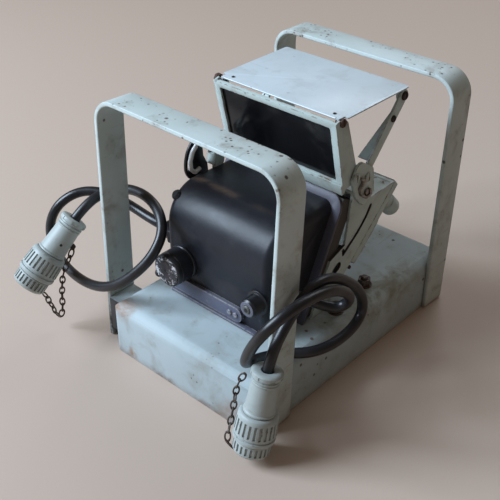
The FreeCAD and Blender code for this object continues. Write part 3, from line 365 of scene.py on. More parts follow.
def worn_plate(name, centre, rim):
    """Near-black paint on a round metal plate, rubbed through to bright metal towards its rim."""
    material, tree, shader = start(name)
    place = on_object(tree)
    flakes = noise(tree, place, 260.0, 6.0, 0.72, 0.8)
    cloud = noise(tree, place, 120.0, 4.0)
    outwards = calc(tree, "SUBTRACT", 1.0, near_point(tree, centre, rim))
    lifted = calc(tree, "ADD", flakes, scaled(tree, outwards, -0.05, 0.07))
    lifted = calc(tree, "ADD", lifted, scaled(tree, cloud, -0.10, 0.10))
    bare = band(tree, lifted, 0.555, 0.585)
    paint = blend(tree, band(tree, cloud, 0.4, 0.6), (0.018, 0.017, 0.022), (0.060, 0.056, 0.070))
    metal = blend(tree, band(tree, flakes, 0.62, 0.75), (0.72, 0.72, 0.74), (0.30, 0.28, 0.27))
    tree.links.new(blend(tree, bare, paint, metal), shader.inputs["Base Color"])
    tree.links.new(times(tree, bare, 0.45), shader.inputs["Metallic"])
    tree.links.new(scaled(tree, flakes, 0.30, 0.62), shader.inputs["Roughness"])
    relief(tree, shader, calc(tree, "SUBTRACT", flakes, bare), 0.6, 0.00015)
    return material


def rubber(name, tone, dust, gloss):
    """Black lead jacket or strap: faint dust, scuffed patches and a slight skin texture."""
    material, tree, shader = start(name)
    place = on_object(tree)
    cloud = noise(tree, place, 38.0, 5.0, 0.6, 0.3)
    fine = noise(tree, place, 620.0, 3.0)
    base = blend(tree, band(tree, cloud, 0.42, 0.70), tone, dust)
    marks = noise(tree, on_object(tree, (300, 300, 60)), 1.0, 2.0)
    base = blend(tree, times(tree, band(tree, marks, 0.66, 0.72), 0.4), base, dust)
    tree.links.new(base, shader.inputs["Base Color"])
    tree.links.new(scaled(tree, cloud, gloss - 0.10, gloss + 0.22), shader.inputs["Roughness"])
    relief(tree, shader, calc(tree, "ADD", fine, cloud), 0.35, 0.00018)
    return material


def glass(name, tone, roughness, see_through):
    """Lens and bulb glass, or the black pane, with dust that dulls it in patches."""
    material, tree, shader = start(name)
    place = on_object(tree)
    cloud = noise(tree, place, 30.0, 6.0, 0.6, 0.6)
    fine = noise(tree, place, 500.0, 3.0)
    dusty = times(tree, band(tree, cloud, 0.50, 0.80), 0.30 if see_through else 0.06)
    tree.links.new(blend(tree, dusty, tone, GLASS_DUST), shader.inputs["Base Color"])
    dull = scaled(tree, times(tree, cloud, fine), roughness, roughness + 0.30)
    tree.links.new(dull, shader.inputs["Roughness"])
    shader.inputs["IOR"].default_value = 1.50 if see_through else 1.38
    if see_through:
        shader.inputs["Transmission Weight"].default_value = 0.92
    relief(tree, shader, cloud, 0.10, 0.0004)
    return material


def mirror_finish(name):
    """Polished reflector, clouded in patches."""
    material, tree, shader = start(name)
    cloud = noise(tree, on_object(tree), 60.0, 5.0)
    tone = blend(tree, band(tree, cloud, 0.5, 0.8), (0.90, 0.91, 0.92), (0.55, 0.54, 0.50))
    tree.links.new(tone, shader.inputs["Base Color"])
    shader.inputs["Metallic"].default_value = 1.0
    tree.links.new(scaled(tree, cloud, 0.04, 0.28), shader.inputs["Roughness"])
    return material


# ---- finishes ------------------------------------------------------------------------
# Each stain: colour, centre and reach in metres, strength, squeeze.
ROUND = (1, 1, 1)
PAN_STAINS = (
    (RUST_ORANGE, (-0.060, -0.113, 0.044), 0.020, 0.7, ROUND),
    (RUST_ORANGE, (0.066, -0.117, 0.005), 0.026, 0.7, ROUND),
    (RUST_BROWN, (0.0, -0.117, 0.0), 0.008, 0.45, (0.06, 1, 1)),
    (RUST_ORANGE, (-0.046, -0.117, 0.006), 0.008, 0.8, ROUND),
    (OLD_GREASE, (0.072, 0.036, 0.046), 0.034, 0.75, (1, 0.6, 1)),
    (OLD_GREASE, (0.070, -0.020, 0.046), 0.022, 0.5, (1, 0.6, 1)))
SHOULDER_RUB = (
    (RUBBED_BROWN, (-0.028, -0.044, 0.130), 0.0060, 0.85, (0.13, 1, 1)),
    (RUBBED_BROWN, (0.010, -0.045, 0.130), 0.0050, 0.30, (0.13, 1, 1)))
# Near-black patch, darkest at the foot of the near hoop's left leg by the floor.
DARK_FOOT_PATCH = (FOOT_NEAR_BLACK, (-0.084, -0.106, 0.008), 0.033, 1.0, ROUND)
HOOP_DARK_FOOT = (DARK_FOOT_PATCH, DARK_FOOT_PATCH)  # laid on twice, to be nearly black
FINISHES = {
    "pale_paint": enamel(
        "pale paint", (0.50, 0.585, 0.56), (0.44, 0.52, 0.50), (0.25, 0.235, 0.20), wear=0.6, specks=0.45),
    "plug_paint": enamel(
        "plug paint", (0.43, 0.475, 0.46), (0.36, 0.40, 0.385), (0.19, 0.19, 0.175), wear=0.25, specks=0.12,
        gloss=0.45, chip=(0.10, 0.10, 0.095), bruise=(0.15, 0.14, 0.13), dirt=0.45, scuffs=0.5),
    "black_enamel": enamel(
        "black enamel", (0.012, 0.013, 0.017), (0.020, 0.020, 0.025), (0.050, 0.046, 0.046), wear=0.45,
        specks=0.2, gloss=0.33, chip=(0.090, 0.075, 0.062), bruise=(0.060, 0.046, 0.038), dirt=0.40,
        scuffs=0.6),
    "rim_paint": enamel(
        "rim paint", (0.085, 0.082, 0.115), (0.062, 0.060, 0.085), (0.13, 0.115, 0.12), wear=0.6,
        specks=0.4, gloss=0.36, chip=(0.20, 0.18, 0.17), bruise=(0.12, 0.09, 0.08)),
    "dark_steel": bare_metal("dark steel", (0.16, 0.14, 0.125), (0.060, 0.030, 0.020), 0.75, 0.42),
    "worn_metal": worn_plate("worn knob plate", (-0.032, -0.091, 0.0765), 0.0137),
    "bright_steel": bare_metal("bright steel", (0.86, 0.85, 0.82), (0.20, 0.14, 0.10), 0.10, 0.26),
    "black_rubber": rubber("black rubber", (0.006, 0.006, 0.008), (0.017, 0.017, 0.020), 0.32),
    "button_plastic": enamel(
        "button plastic", (0.13, 0.145, 0.13), (0.09, 0.10, 0.09), (0.05, 0.05, 0.045), wear=0.4,
        specks=0.2, gloss=0.45),
    "clear_glass": glass("clear glass", (0.95, 0.97, 0.96), 0.03, True),
    "dark_glass": glass("dark glass", (0.004, 0.004, 0.005), 0.08, False),
    "polished_mirror": mirror_finish("polished mirror"),
    "lamp_brass": bare_metal("lamp brass", (0.62, 0.46, 0.20), (0.16, 0.10, 0.05), 0.3, 0.30),
}
HOOP_PAINT = enamel(
    "hoop paint", (0.54, 0.61, 0.60), (0.47, 0.54, 0.52), (0.22, 0.19, 0.15), wear=0.85, specks=0.85,
    gloss=0.46, dirt=0.75, pitted_from=0.2005, stains=HOOP_DARK_FOOT)
# The pale paint made lighter and bluer for the hood's top plate and bead: painted skylight on the top.
HOOD_PAINT_SKYLIT = enamel(
    "hood paint skylit", (0.62, 0.70, 0.74), (0.56, 0.635, 0.67), (0.30, 0.29, 0.26), wear=0.28, specks=0.22,
    gloss=0.30, dirt=0.35, scuffs=0.25)
PAN_PAINT = enamel(
    "pan paint", (0.44, 0.51, 0.53), (0.385, 0.45, 0.465), (0.25, 0.225, 0.18), wear=0.65, specks=0.8,
    gloss=0.60, stains=PAN_STAINS, shine=0.28)
SHELL_ENAMEL = enamel(
    "shell enamel", (0.013, 0.014, 0.019), (0.020, 0.021, 0.028), (0.050, 0.047, 0.050), wear=0.35,
    specks=0.12, gloss=0.38, chip=(0.085, 0.072, 0.062), bruise=(0.055, 0.044, 0.038), dirt=0.45,
    scuffs=0.85, stains=SHOULDER_RUB, skin=0.9, shine=0.30)
# Pale chips at heavy wear: worn edges, and also a painted highlight along the strip's top edge where it
# catches the light.
STRIP_PAINT_EDGE_GLINT = enamel(
    "strip paint edge glint", (0.125, 0.13, 0.185), (0.095, 0.10, 0.15), (0.14, 0.13, 0.14), wear=0.95, specks=0.3,
    gloss=0.36, chip=(0.42, 0.41, 0.38), bruise=(0.30, 0.28, 0.27))
# Near-white coat on the latch hook: its plating, painted brighter to stand for its reflection of the
# window.
HOOK_PLATING_GLINT = enamel(
    "hook plating glint", (0.84, 0.85, 0.84), (0.72, 0.73, 0.72), (0.42, 0.40, 0.37), wear=0.1, specks=0.05,
    gloss=0.20, dirt=0.2, scuffs=0.2, skin=0.05)
CLIP_WIRE = bare_metal("clip wire", (0.40, 0.36, 0.33), (0.13, 0.09, 0.07), 0.5, 0.48)
# Near-black coat: on the front frame's inner and slot walls it is painted shade in the hollow; the throat
# sleeve wears it too.
LINING_AND_HOLLOW_SHADE = enamel(
    "lining and hollow shade", (0.030, 0.028, 0.026), (0.045, 0.038, 0.032), (0.070, 0.050, 0.036), wear=0.3,
    specks=0.4, gloss=0.5)
RUSTY = bare_metal("rusty screw", (0.15, 0.115, 0.10), (0.085, 0.046, 0.033), 0.9, 0.50)
DARK_SCREW = bare_metal("blackened screw", (0.060, 0.052, 0.048), (0.040, 0.022, 0.016), 0.5, 0.40)
OWN_FINISH = {
    "near_guard_hoop": HOOP_PAINT,
    "far_guard_hoop": HOOP_PAINT,
    "hood_top_plate": HOOD_PAINT_SKYLIT,
    "base_pan": PAN_PAINT,
    "head_shell": SHELL_ENAMEL,
    "throat_sleeve": LINING_AND_HOLLOW_SHADE,
    "right_strut_pin": DARK_SCREW,
    "left_strut_pin": DARK_SCREW,
    "right_top_pivot_pin": RUSTY,
    "left_top_pivot_pin": RUSTY,
    "shell_screw": FINISHES["black_enamel"],
    "button_bezel": FINISHES["black_rubber"],
    "foot_screws": STRIP_PAINT_EDGE_GLINT,
    "foot_strip": STRIP_PAINT_EDGE_GLINT,
    "latch_hook": HOOK_PLATING_GLINT,
    "strut_clip": CLIP_WIRE,
}
SLOTS = {}
for name, thing in nodes.items():
    SLOTS[name] = thing.data.materials[0].name.split(".")[0]
    thing.data.materials[0] = OWN_FINISH.get(name, FINISHES[SLOTS[name]])


# ---- shape helpers -------------------------------------------------------------------
SHARP_TURN, FLAT_TURN = 38.0, 0.8    # degrees: shown as an edge, dissolved as flat


def piece(name, bm, body, slot, stands_for=(), finish=None, turn_angle=SHARP_TURN, place=None):
    """Makes an object of a bmesh, in its final place, with smooth faces and sharp edges."""
    if place is not None:
        bm.transform(place)
    mesh = bpy.data.meshes.new(name)
    bm.to_mesh(mesh)
    bm.free()
    mesh.shade_smooth()
    mesh.set_sharp_from_angle(angle=math.radians(turn_angle))
    made = placed(name, mesh)
    mesh.materials.append(finish or FINISHES[slot])
    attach(made, body)
    if stands_for:
        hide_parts(*stands_for)
    return made


def aimed(point, direction):
    """Placement that carries +Z onto a direction at a point given in millimetres."""
    turn = Vector((0, 0, 1)).rotation_difference(Vector(direction)).to_matrix().to_4x4()
    return Matrix.Translation(Vector(point) * MM) @ turn


def within(share):
    """A share kept between 0 and 1."""
    return min(1.0, max(0.0, share))


def round_axis(degrees, out, height):
    """A point at an angle, a distance and a height on the Z axis."""
    angle = math.radians(degrees)
    return Vector((out * math.cos(angle), out * math.sin(angle), height)) * MM


def full_turn(bm, section, steps):
    """Spins a section once round Z and joins the ends."""
    bmesh.ops.spin(bm, geom=section, cent=(0, 0, 0), axis=(0, 0, 1), angle=math.tau, steps=steps,
                   use_merge=True)
    bmesh.ops.remove_doubles(bm, verts=bm.verts, dist=1e-6)


def sharper_than(bm, degrees):
    """Edges whose two faces turn by more than an angle."""
    return [e for e in bm.edges if e.is_manifold and e.calc_face_angle(0.0) > math.radians(degrees)]


def ease(bm, edges, width, loop_slide=False):
    """Rounds edges over with two segments."""
    bmesh.ops.bevel(bm, geom=edges, offset=width * MM, offset_type="OFFSET", segments=2, profile=0.5,
                    affect="EDGES", material=-1, clamp_overlap=True, loop_slide=loop_slide)


def turned(profile, steps):
    """Spins (radius, height) pairs about Z and closes the ends on the axis."""
    bm = bmesh.new()
    spots = [bm.verts.new((r * MM, 0, z * MM)) for r, z in profile]
    runs = [bm.edges.new(pair) for pair in zip(spots, spots[1:])]
    full_turn(bm, spots + runs, steps)
    bmesh.ops.recalc_face_normals(bm, faces=bm.faces)
    return bm


def domed(radius, height):
    """Low domed rivet head standing on its flat side."""
    return turned([(0.0, 0.0), (radius, 0.0), (radius, 0.3 * height), (0.92 * radius, 0.62 * height),
                   (0.62 * radius, 0.92 * height), (0.0, height)], 20)


def hexagon(radius, height):
    """Hexagonal nut with its edges eased."""
    bm = bmesh.new()
    bmesh.ops.create_cone(bm, cap_ends=True, segments=6, radius1=radius * MM, radius2=radius * MM,
                          depth=height * MM, matrix=Matrix.Translation((0, 0, height * MM / 2)))
    ease(bm, list(bm.edges), 0.3)
    bmesh.ops.recalc_face_normals(bm, faces=bm.faces)
    return bm


def side_patch(bm, low, high, begin, share):
    """Side faces between two heights, from `begin` round Z and over `share`, both in turns."""
    taken = []
    for face in bm.faces:
        middle = face.calc_center_median()
        across = math.hypot(middle.x, middle.y)
        if low * MM < middle.z < high * MM and abs(face.normal.z) < 0.5 and across > 0.001:
            if (math.atan2(middle.y, middle.x) / math.tau - begin) % 1.0 < share:
                taken.append(face)
    return taken


def pressed(bm, faces, margin, depth):
    """Insets a patch of side faces as one and moves it outwards by `depth` (negative = inwards)."""
    bmesh.ops.inset_region(bm, faces=faces, thickness=margin * MM, depth=0.0, use_even_offset=True)
    outwards = {}
    for face in faces:
        for vert in face.verts:
            outwards[vert] = Vector((vert.co.x, vert.co.y, 0)).normalized()
    for vert, out in outwards.items():
        vert.co += out * depth * MM


def slotted_ring(bm, low, high, count, width, margin, depth):
    """Presses `count` upright slots into a turned side; `width` is each slot's share of a turn."""
    for k in range(count):
        pressed(bm, side_patch(bm, low, high, k / count, width), margin, depth)


def softened(name, width, spots=(), reshape=None):
    """A merged copy of a CAD node with its sharp edges eased, standing for the node.

    Each spot is a test on a face's middle, in millimetres, and its direction, with the
    finish of the faces that pass it. A reshape moves each corner first.
    """
    node = nodes[name]
    bm = bmesh.new()
    bm.from_mesh(node.data)
    bmesh.ops.remove_doubles(bm, verts=bm.verts, dist=2e-6)
    if reshape:
        for vert in bm.verts:
            vert.co = reshape(vert.co / MM) * MM
    bmesh.ops.dissolve_limit(bm, angle_limit=math.radians(FLAT_TURN), verts=bm.verts, edges=bm.edges,
                             delimit=set())
    bmesh.ops.dissolve_degenerate(bm, dist=1e-6, edges=bm.edges)
    ease(bm, sharper_than(bm, SHARP_TURN), width, loop_slide=True)
    bm.normal_update()
    for number, (test, _) in enumerate(spots, start=1):
        for face in bm.faces:
            if test(face.calc_center_median() / MM, face.normal):
                face.material_index = number
    skin = piece(name.replace("_", "-") + "-skin", bm, node["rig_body"], SLOTS[name], (name,),
                 node.data.materials[0])
    for _, finish in spots:
        skin.data.materials.append(finish)
    return skin


# ---- leads ---------------------------------------------------------------------------
LEFT_TIP, LEFT_AIM = (-130.0, -149.5, 46.5), Vector((-0.194, -0.663, -0.723)).normalized()
RIGHT_TIP, RIGHT_AIM = (89.6, -131.2, 6.2), Vector((-0.037, -0.209, -0.977)).normalized()
PLUG_LEN = 66.0
LEAD_R = 3.9
LINE_STEPS = 12     # parts of each stretch of a spline
JACKET_STEPS = 6    # bevel resolution round a lead
LEFT_ROUTE = [
    (-55, -62, 89), (-75, -62, 89), (-103, -62.5, 93), (-125, -64, 95), (-142, -73, 96),
    (-152, -85, 92), (-160, -96, 80), (-162, -102, 62), (-151, -105, 45), (-122, -111, 41),
    (-83, -119, 52), (-60, -116, 63), (-45, -108, 78), (-37, -98, 92), (-38, -86, 106),
    (-53, -76, 115), (-77, -69, 116), (-101, -67, 111), (-114, -76, 107)]
RIGHT_ROUTE = [
    (61, -62, 89), (74, -62, 89), (83, -50.5, 81), (90, -42, 77), (96, -37, 83),
    (99, -42, 94), (101, -58, 107), (102, -77, 115), (102, -96, 118), (100, -113, 116),
    (92, -124, 103), (81, -123, 84), (71, -117, 64), (63.5, -106, 53), (66.5, -92, 51),
    (75, -79, 51), (87, -68, 51), (93, -52, 51), (93.5, -31, 51), (91.5, -14, 55),
    (92, -13.5, 70), (92, -25, 89), (92, -47, 107), (92, -68, 115), (92, -84, 110),
    (92.5, -98, 101)]


def smooth_line(name, points, thickness=0.0):
    """One open NURBS spline whose control points are the route's own points."""
    curve = bpy.data.curves.new(name, "CURVE")
    curve.dimensions = "3D"
    spline = curve.splines.new("NURBS")
    spline.points.add(len(points) - 1)
    for spot, point in zip(spline.points, points):
        spot.co = (*(Vector(point) * MM), 1.0)
    spline.order_u = 3
    spline.use_endpoint_u = True
    spline.resolution_u = LINE_STEPS
    curve.resolution_u = LINE_STEPS
    curve.render_resolution_u = LINE_STEPS
    curve.bevel_depth = thickness
    curve.bevel_resolution = JACKET_STEPS
    curve.use_fill_caps = thickness > 0
    return curve


def make_lead(side, route, tip, aim):
    """A rubber lead that ends inside the rear of its plug."""
    rear = Vector(tip) - aim * PLUG_LEN
    points = [Vector(p) for p in route] + [rear - aim * 13.0, rear + aim * 6.0]
    name = side + "-lead-line"
    curve = smooth_line(name, points, LEAD_R * MM)
    lead = placed(name, curve)
    curve.materials.append(FINISHES["black_rubber"])
    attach(lead, "lamp")
    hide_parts(side + "_lead")
    return lead


def line_spots(name, points):
    """Vertices along a bare route spline, in order."""
    holder = placed(name, smooth_line(name, points))
    mesh = bpy.data.meshes.new_from_object(holder)
    spots = [v.co.copy() for v in mesh.vertices]
    bpy.data.objects.remove(holder)
    return spots


# ---- cap chains ----------------------------------------------------------------------
LEFT_CHAIN = [
    (-113.6, -114.5, 71), (-113.2, -119.5, 64), (-113.8, -124, 57), (-114.5, -126.5, 50),
    (-117, -126.5, 40), (-119, -126.5, 28), (-120, -127, 15), (-121.5, -129.5, 9),
    (-122.3, -133, 17), (-122.8, -136, 28), (-124, -139.5, 38)]
RIGHT_CHAIN = [
    (78, -124.5, 63), (74.5, -127.5, 56), (73.3, -129, 43), (72.8, -131, 32),
    (72.8, -133.5, 22), (73.2, -137, 12.5), (75, -139, 7.8), (79.6, -138.0, 7)]
LINK_RADIUS, LINK_WIRE, LINK_STRETCH = 2.0, 0.6, 1.75
LINK_PITCH = 5.8


def wire_ring(radius, wire, stretch):
    """A ring of round wire about Z, drawn out along X."""
    bm = bmesh.new()
    turn = Matrix.Translation((radius * MM, 0, 0)) @ Matrix.Rotation(math.pi / 2, 4, "X")
    section = bmesh.ops.create_circle(bm, segments=8, radius=wire * MM, matrix=turn)["verts"]
    full_turn(bm, section + list(bm.edges), 18)
    bmesh.ops.scale(bm, vec=(stretch, 1.0, 1.0), verts=bm.verts)
    bmesh.ops.recalc_face_normals(bm, faces=bm.faces)
    return bm


def point_along(spots, lengths, distance):
    """Place and direction at a distance along a line; `lengths` is each spot's own distance."""
    for i in range(len(spots) - 1):
        if lengths[i + 1] >= distance:
            part = (distance - lengths[i]) / max(lengths[i + 1] - lengths[i], 1e-9)
            return spots[i].lerp(spots[i + 1], part), (spots[i + 1] - spots[i]).normalized()
    return spots[-1], (spots[-1] - spots[-2]).normalized()


def link_roll(number):
    """Each link is a quarter turn from the last, with a little sway."""
    sway = 14.0 * math.sin(1.7 * number)
    return Matrix.Rotation(math.radians(90.0 * (number % 2) + 35.0 + sway), 4, "X")


def make_chain(side, points):
    """Oval wire links along a hanging line."""
    spots = line_spots(side + "-chain-route", points)
    lengths = [0.0]
    for a, b in zip(spots, spots[1:]):
        lengths.append(lengths[-1] + (b - a).length)
    count = int(lengths[-1] / (LINK_PITCH * MM))
    bm = bmesh.new()
    link = bpy.data.meshes.new("link")
    wire_ring(LINK_RADIUS, LINK_WIRE, LINK_STRETCH).to_mesh(link)
    for i in range(count):
        middle, ahead = point_along(spots, lengths, (i + 0.5) * lengths[-1] / count)
        turn = Vector((1, 0, 0)).rotation_difference(ahead).to_matrix().to_4x4()
        before = len(bm.verts)
        bm.from_mesh(link)
        bm.verts.ensure_lookup_table()
        place = Matrix.Translation(middle) @ turn @ link_roll(i)
        bmesh.ops.transform(bm, matrix=place, verts=bm.verts[before:])
    return piece(side + "-cap-chain-links", bm, "lamp", "dark_steel", (side + "_cap_chain",),
                 turn_angle=60.0)


# ---- plugs ---------------------------------------------------------------------------
RIBS = 24


def plug_gland():
    """Rear clamp nut: a thin notched flange with a domed back and a stepped neck."""
    bm = turned([
        (3.9, 2.0), (4.6, 0.6), (8.2, 0.0), (10.2, 0.6), (11.0, 1.5), (11.0, 3.9), (10.3, 4.5),
        (9.3, 4.8), (9.3, 5.7), (9.9, 6.1), (9.9, 7.2), (9.4, 7.9), (3.9, 8.0), (3.9, 2.0)], 64)
    slotted_ring(bm, 1.6, 3.8, 8, 3.2 / 64.0, 0.15, -0.4)
    return bm


def plug_body():
    """Smooth sleeve that widens into the shoulder, with a ring near the clamp nut and a neck inside."""
    return turned([
        (0.0, 8.05), (9.3, 8.05), (9.8, 8.5), (9.8, 9.4), (9.5, 9.9), (9.7, 13.0), (9.9, 19.0),
        (10.2, 25.0), (10.6, 30.6), (11.3, 31.4), (11.3, 32.4), (10.7, 32.9), (7.9, 32.95),
        (7.9, 55.8), (0.0, 55.8)], 64)


def plug_coupling():
    """Ribbed sleeve ring: rounded shoulder, a band of upright slots, a groove and a bead."""
    bm = turned([
        (8.05, 33.0), (11.5, 33.0), (12.6, 33.4), (13.5, 34.4), (13.9, 35.8), (14.1, 37.2),
        (14.8, 47.8), (14.8, 49.2), (13.9, 49.8), (13.9, 50.8), (14.8, 51.2), (14.9, 52.6),
        (14.6, 53.8), (13.8, 54.45), (8.05, 54.5), (8.05, 33.0)], 96)
    slotted_ring(bm, 37.3, 47.7, RIBS, 2.2 / 96.0, 0.25, -1.0)
    return bm


def plug_cap():
    """Scalloped cap with a rounded, slightly dished end."""
    bm = turned([
        (0.0, 56.2), (8.05, 56.2), (8.05, 54.8), (12.6, 54.8), (13.2, 55.2), (13.4, 56.0),
        (13.4, 62.6), (13.2, 63.6), (12.5, 64.6), (11.2, 65.4), (9.4, 65.9), (7.7, 66.0),
        (6.6, 65.8), (5.8, 65.4), (0.0, 65.3)], 96)
    slotted_ring(bm, 56.1, 62.5, RIBS, 2.2 / 96.0, 0.25, -1.1)
    return bm


def make_plug(side, tip, aim):
    """The four turned pieces of a plug, in place on the lead's end."""
    place = aimed(Vector(tip) - aim * PLUG_LEN, aim)
    parts = (("gland", plug_gland, "lamp"), ("body", plug_body, "lamp"),
             ("coupling", plug_coupling, side + "_coupling"), ("cap", plug_cap, side + "_cap"))
    made = []
    for part, shape, body in parts:
        node = side + "_plug_" + part
        name = node.replace("_", "-") + "-turned"
        made.append(piece(name, shape(), body, "plug_paint", (node,), place=place, turn_angle=32.0))
    return made


def plug_fitting(name, shape, tip, aim, height, spin, out):
    """A dark fitting on a plug's sleeve, `height` from its rear and `spin` degrees round it."""
    place = aimed(Vector(tip) - aim * PLUG_LEN, aim)
    around = Matrix.Rotation(math.radians(spin), 4, "Z")
    shift = Matrix.Translation((out * MM, 0, height * MM))
    upright = Matrix.Rotation(math.pi / 2, 4, "Y")
    return piece(name, shape, "lamp", "dark_steel", finish=DARK_SCREW,
                 place=place @ around @ shift @ upright)


def set_screw(side, tip, aim):
    """Small screw in the sleeve."""
    return plug_fitting(side + "-plug-set-screw", domed(1.1, 0.4), tip, aim, 22.0, 0.0, 9.9)


def chain_lug(side, tip, aim, height, spin):
    """Stud that holds the cap's chain."""
    return plug_fitting(side + "-plug-lug", domed(2.4, 4.0), tip, aim, height, spin, 9.4)


# ---- controls and small fastenings ---------------------------------------------------
def make_selector():
    """Black barrel with a thumb nub, and a thin worn plate with a ring of black discs on its face that
    paint the shade of holes.
    """
    place = aimed(KNOB_FOOT, (0, -1, 0))
    barrel = turned([
        (0.0, 0.0), (12.7, 0.0), (13.3, 0.6), (13.3, 10.6), (12.7, 10.9), (12.7, 11.4), (13.2, 11.7),
        (13.2, 14.2), (12.8, 14.9), (12.2, 15.1), (11.9, 14.8), (0.0, 14.8)], 72)
    nub = bmesh.ops.create_uvsphere(barrel, u_segments=18, v_segments=12, radius=3.5 * MM)["verts"]
    bmesh.ops.translate(barrel, vec=round_axis(216.0, 15.4, 11.4), verts=nub)
    piece("selector-knob-barrel", barrel, "selector", "black_enamel", ("selector_knob",), place=place,
          turn_angle=34.0)
    plate = turned([
        (0.0, 14.85), (1.6, 14.85), (1.9, 15.2), (2.6, 15.35), (11.0, 15.65), (11.6, 15.55),
        (11.7, 14.9), (0.0, 14.82)], 64)
    piece("selector-knob-plate", plate, "selector", "worn_metal", place=place)
    # Black discs stand for the holes: painted shade.
    holes = bmesh.new()
    for k in range(8):
        spot = Matrix.Translation(round_axis(45.0 * k + 18.0, 7.8, 15.5))
        bmesh.ops.create_cone(holes, cap_ends=True, segments=16, radius1=1.0 * MM, radius2=0.9 * MM,
                              depth=0.2 * MM, matrix=spot)
    piece("selector-knob-hole-shades", holes, "selector", "black_enamel", place=place)


def make_button_dimple_shade():
    """Flat black disc in the middle of the push button: painted shade of a hollow."""
    place = Matrix.Translation(Vector(BUTTON_MIDDLE) * MM) @ Matrix.Rotation(math.pi / 2, 4, "X")
    bm = bmesh.new()
    bmesh.ops.create_cone(bm, cap_ends=True, segments=24, radius1=1.6 * MM, radius2=1.5 * MM,
                          depth=0.3 * MM)
    piece("button-dimple-shade", bm, "button", "button_plastic", finish=FINISHES["black_rubber"], place=place)


def make_shell_screw():
    """Domed screw on the shell's left shoulder."""
    piece("shell-screw-head", domed(4.3, 4.4), "lamp", "black_enamel", ("shell_screw",),
          place=aimed(SHELL_SCREW_FOOT, SHELL_SCREW_AIM))


def make_hood_rivets():
    """Two small rivets in the top plate."""
    for side, x in (("left", HEAD_X - RIVET_HALF), ("right", HEAD_X + RIVET_HALF)):
        piece(side + "-hood-rivet", domed(1.3, 0.7), "hood_top", "dark_steel", finish=DARK_SCREW,
              place=aimed((x, HINGE_Y + 3.4, HOOD_TOP_Z), (0, 0, 1)))


def make_hinge_nut():
    """The nut on the left end of the hood's hinge pin."""
    piece("left-hinge-nut", hexagon(3.5, 2.6), "hood_panel", "dark_steel", finish=RUSTY,
          place=aimed((HEAD_X - FRAME_HALF - 1.1, HINGE_Y, HINGE_Z), (-1, 0, 0)))


def make_hood_edge():
    """The thin rolled bead along the top plate's near edge; it clears the pane when the plate lifts."""
    reach = FRAME_HALF - 5.0
    bead = turned([(0.0, 0.0), (0.45, 0.1), (0.75, 0.4), (0.75, 2 * reach - 0.4), (0.45, 2 * reach - 0.1),
                   (0.0, 2 * reach)], 16)
    piece("hood-edge-bead", bead, "hood_top", "pale_paint", finish=HOOD_PAINT_SKYLIT,
          place=aimed((HEAD_X - reach, HINGE_Y - 1.3, HOOD_TOP_Z - 0.45), (1, 0, 0)))


# ---- latch strap ---------------------------------------------------------------------
STRAP_LINE = [
    (0, -19.0, 150.5), (0, -28.5, 158.0), (0, -38.5, 158.0), (0, -44.2, 151.4),
    (0, -46.9, 143.4), (0, -47.2, 136.5), (0, -45.9, 131.8), (0, -43.4, 128.6)]
STRAP_HALF = 1.15
# Outline of the black sheet behind the hook, which paints the shade there.
SHADE_SHEET_OUTLINE = [
    (-27.0, 152.0), (-30.0, 155.0), (-37.0, 155.0), (-40.5, 149.5), (-41.5, 143.0), (-41.5, 136.0),
    (-42.5, 130.0), (-40.0, 123.0), (-28.0, 120.0), (-21.0, 124.0), (-22.0, 132.0), (-26.0, 140.0)]
SHADE_SHEET_X, SHADE_SHEET_THICKNESS = -56.0, 1.0


def strap_band(bm):
    """A flat band that follows the strap's line and widens after its start."""
    spots = line_spots("strap-route", STRAP_LINE)
    rings = []
    for i, spot in enumerate(spots):
        ahead = (spots[min(i + 1, len(spots) - 1)] - spots[max(i - 1, 0)]).normalized()
        side = Vector((0, -ahead.z, ahead.y)) * STRAP_HALF * MM
        share = within((i / len(spots) - 0.10) / 0.15)
        inner, outer = -49.6 - 2.1 * share, -51.1 - 2.8 * share
        corners = ((outer, -1), (outer, 1), (inner, 1), (inner, -1))
        rings.append([bm.verts.new(Vector((x * MM, spot.y, spot.z)) + side * turn) for x, turn in corners])
    for a, b in zip(rings, rings[1:]):
        for k in range(4):
            bm.faces.new((a[k], a[(k + 1) % 4], b[(k + 1) % 4], b[k]))
    bm.faces.new(rings[0])
    bm.faces.new(rings[-1])


def strap_shade_sheet(bm):
    """A thin black sheet beside the band, behind the hook: painted shade."""
    sheet = bm.faces.new([bm.verts.new(Vector((SHADE_SHEET_X, y, z)) * MM) for y, z in SHADE_SHEET_OUTLINE])
    made = bmesh.ops.extrude_face_region(bm, geom=[sheet])["geom"]
    raised = [part for part in made if isinstance(part, bmesh.types.BMVert)]
    bmesh.ops.translate(bm, vec=(SHADE_SHEET_THICKNESS * MM, 0, 0), verts=raised)


def make_strap():
    """Rubber strap of the latch, and a black sheet of painted shade behind its hook."""
    bm = bmesh.new()
    strap_band(bm)
    strap_shade_sheet(bm)
    bmesh.ops.recalc_face_normals(bm, faces=bm.faces)
    ease(bm, sharper_than(bm, 50.0), 0.35)
    piece("latch-strap-band-and-shade-sheet", bm, "latch", "black_rubber", ("latch_strap",), turn_angle=40.0)


# ---- head shell ----------------------------------------------------------------------
LEFT_BEYOND, LEFT_OUT = -36.5, 5.5
SHOULDER_Y, SHOULDER_BACK, SHOULDER_RISE = -47.0, 5.0, 6.0


def fuller_shell(spot):
    """The shell with its left side further out and its near shoulder higher and rounder."""
    x, y, z = spot
    fade = within(1.0 - (y - SHOULDER_Y) / 47.5)
    rise = SHOULDER_RISE * fade * within((z - 99.0) / 25.0)
    if x < LEFT_BEYOND:
        x -= LEFT_OUT
    if y < SHOULDER_Y:
        return Vector((x, SHOULDER_Y + SHOULDER_BACK + 1.2 * (y - SHOULDER_Y), z + rise))
    return Vector((x, y + SHOULDER_BACK * fade, z + rise))


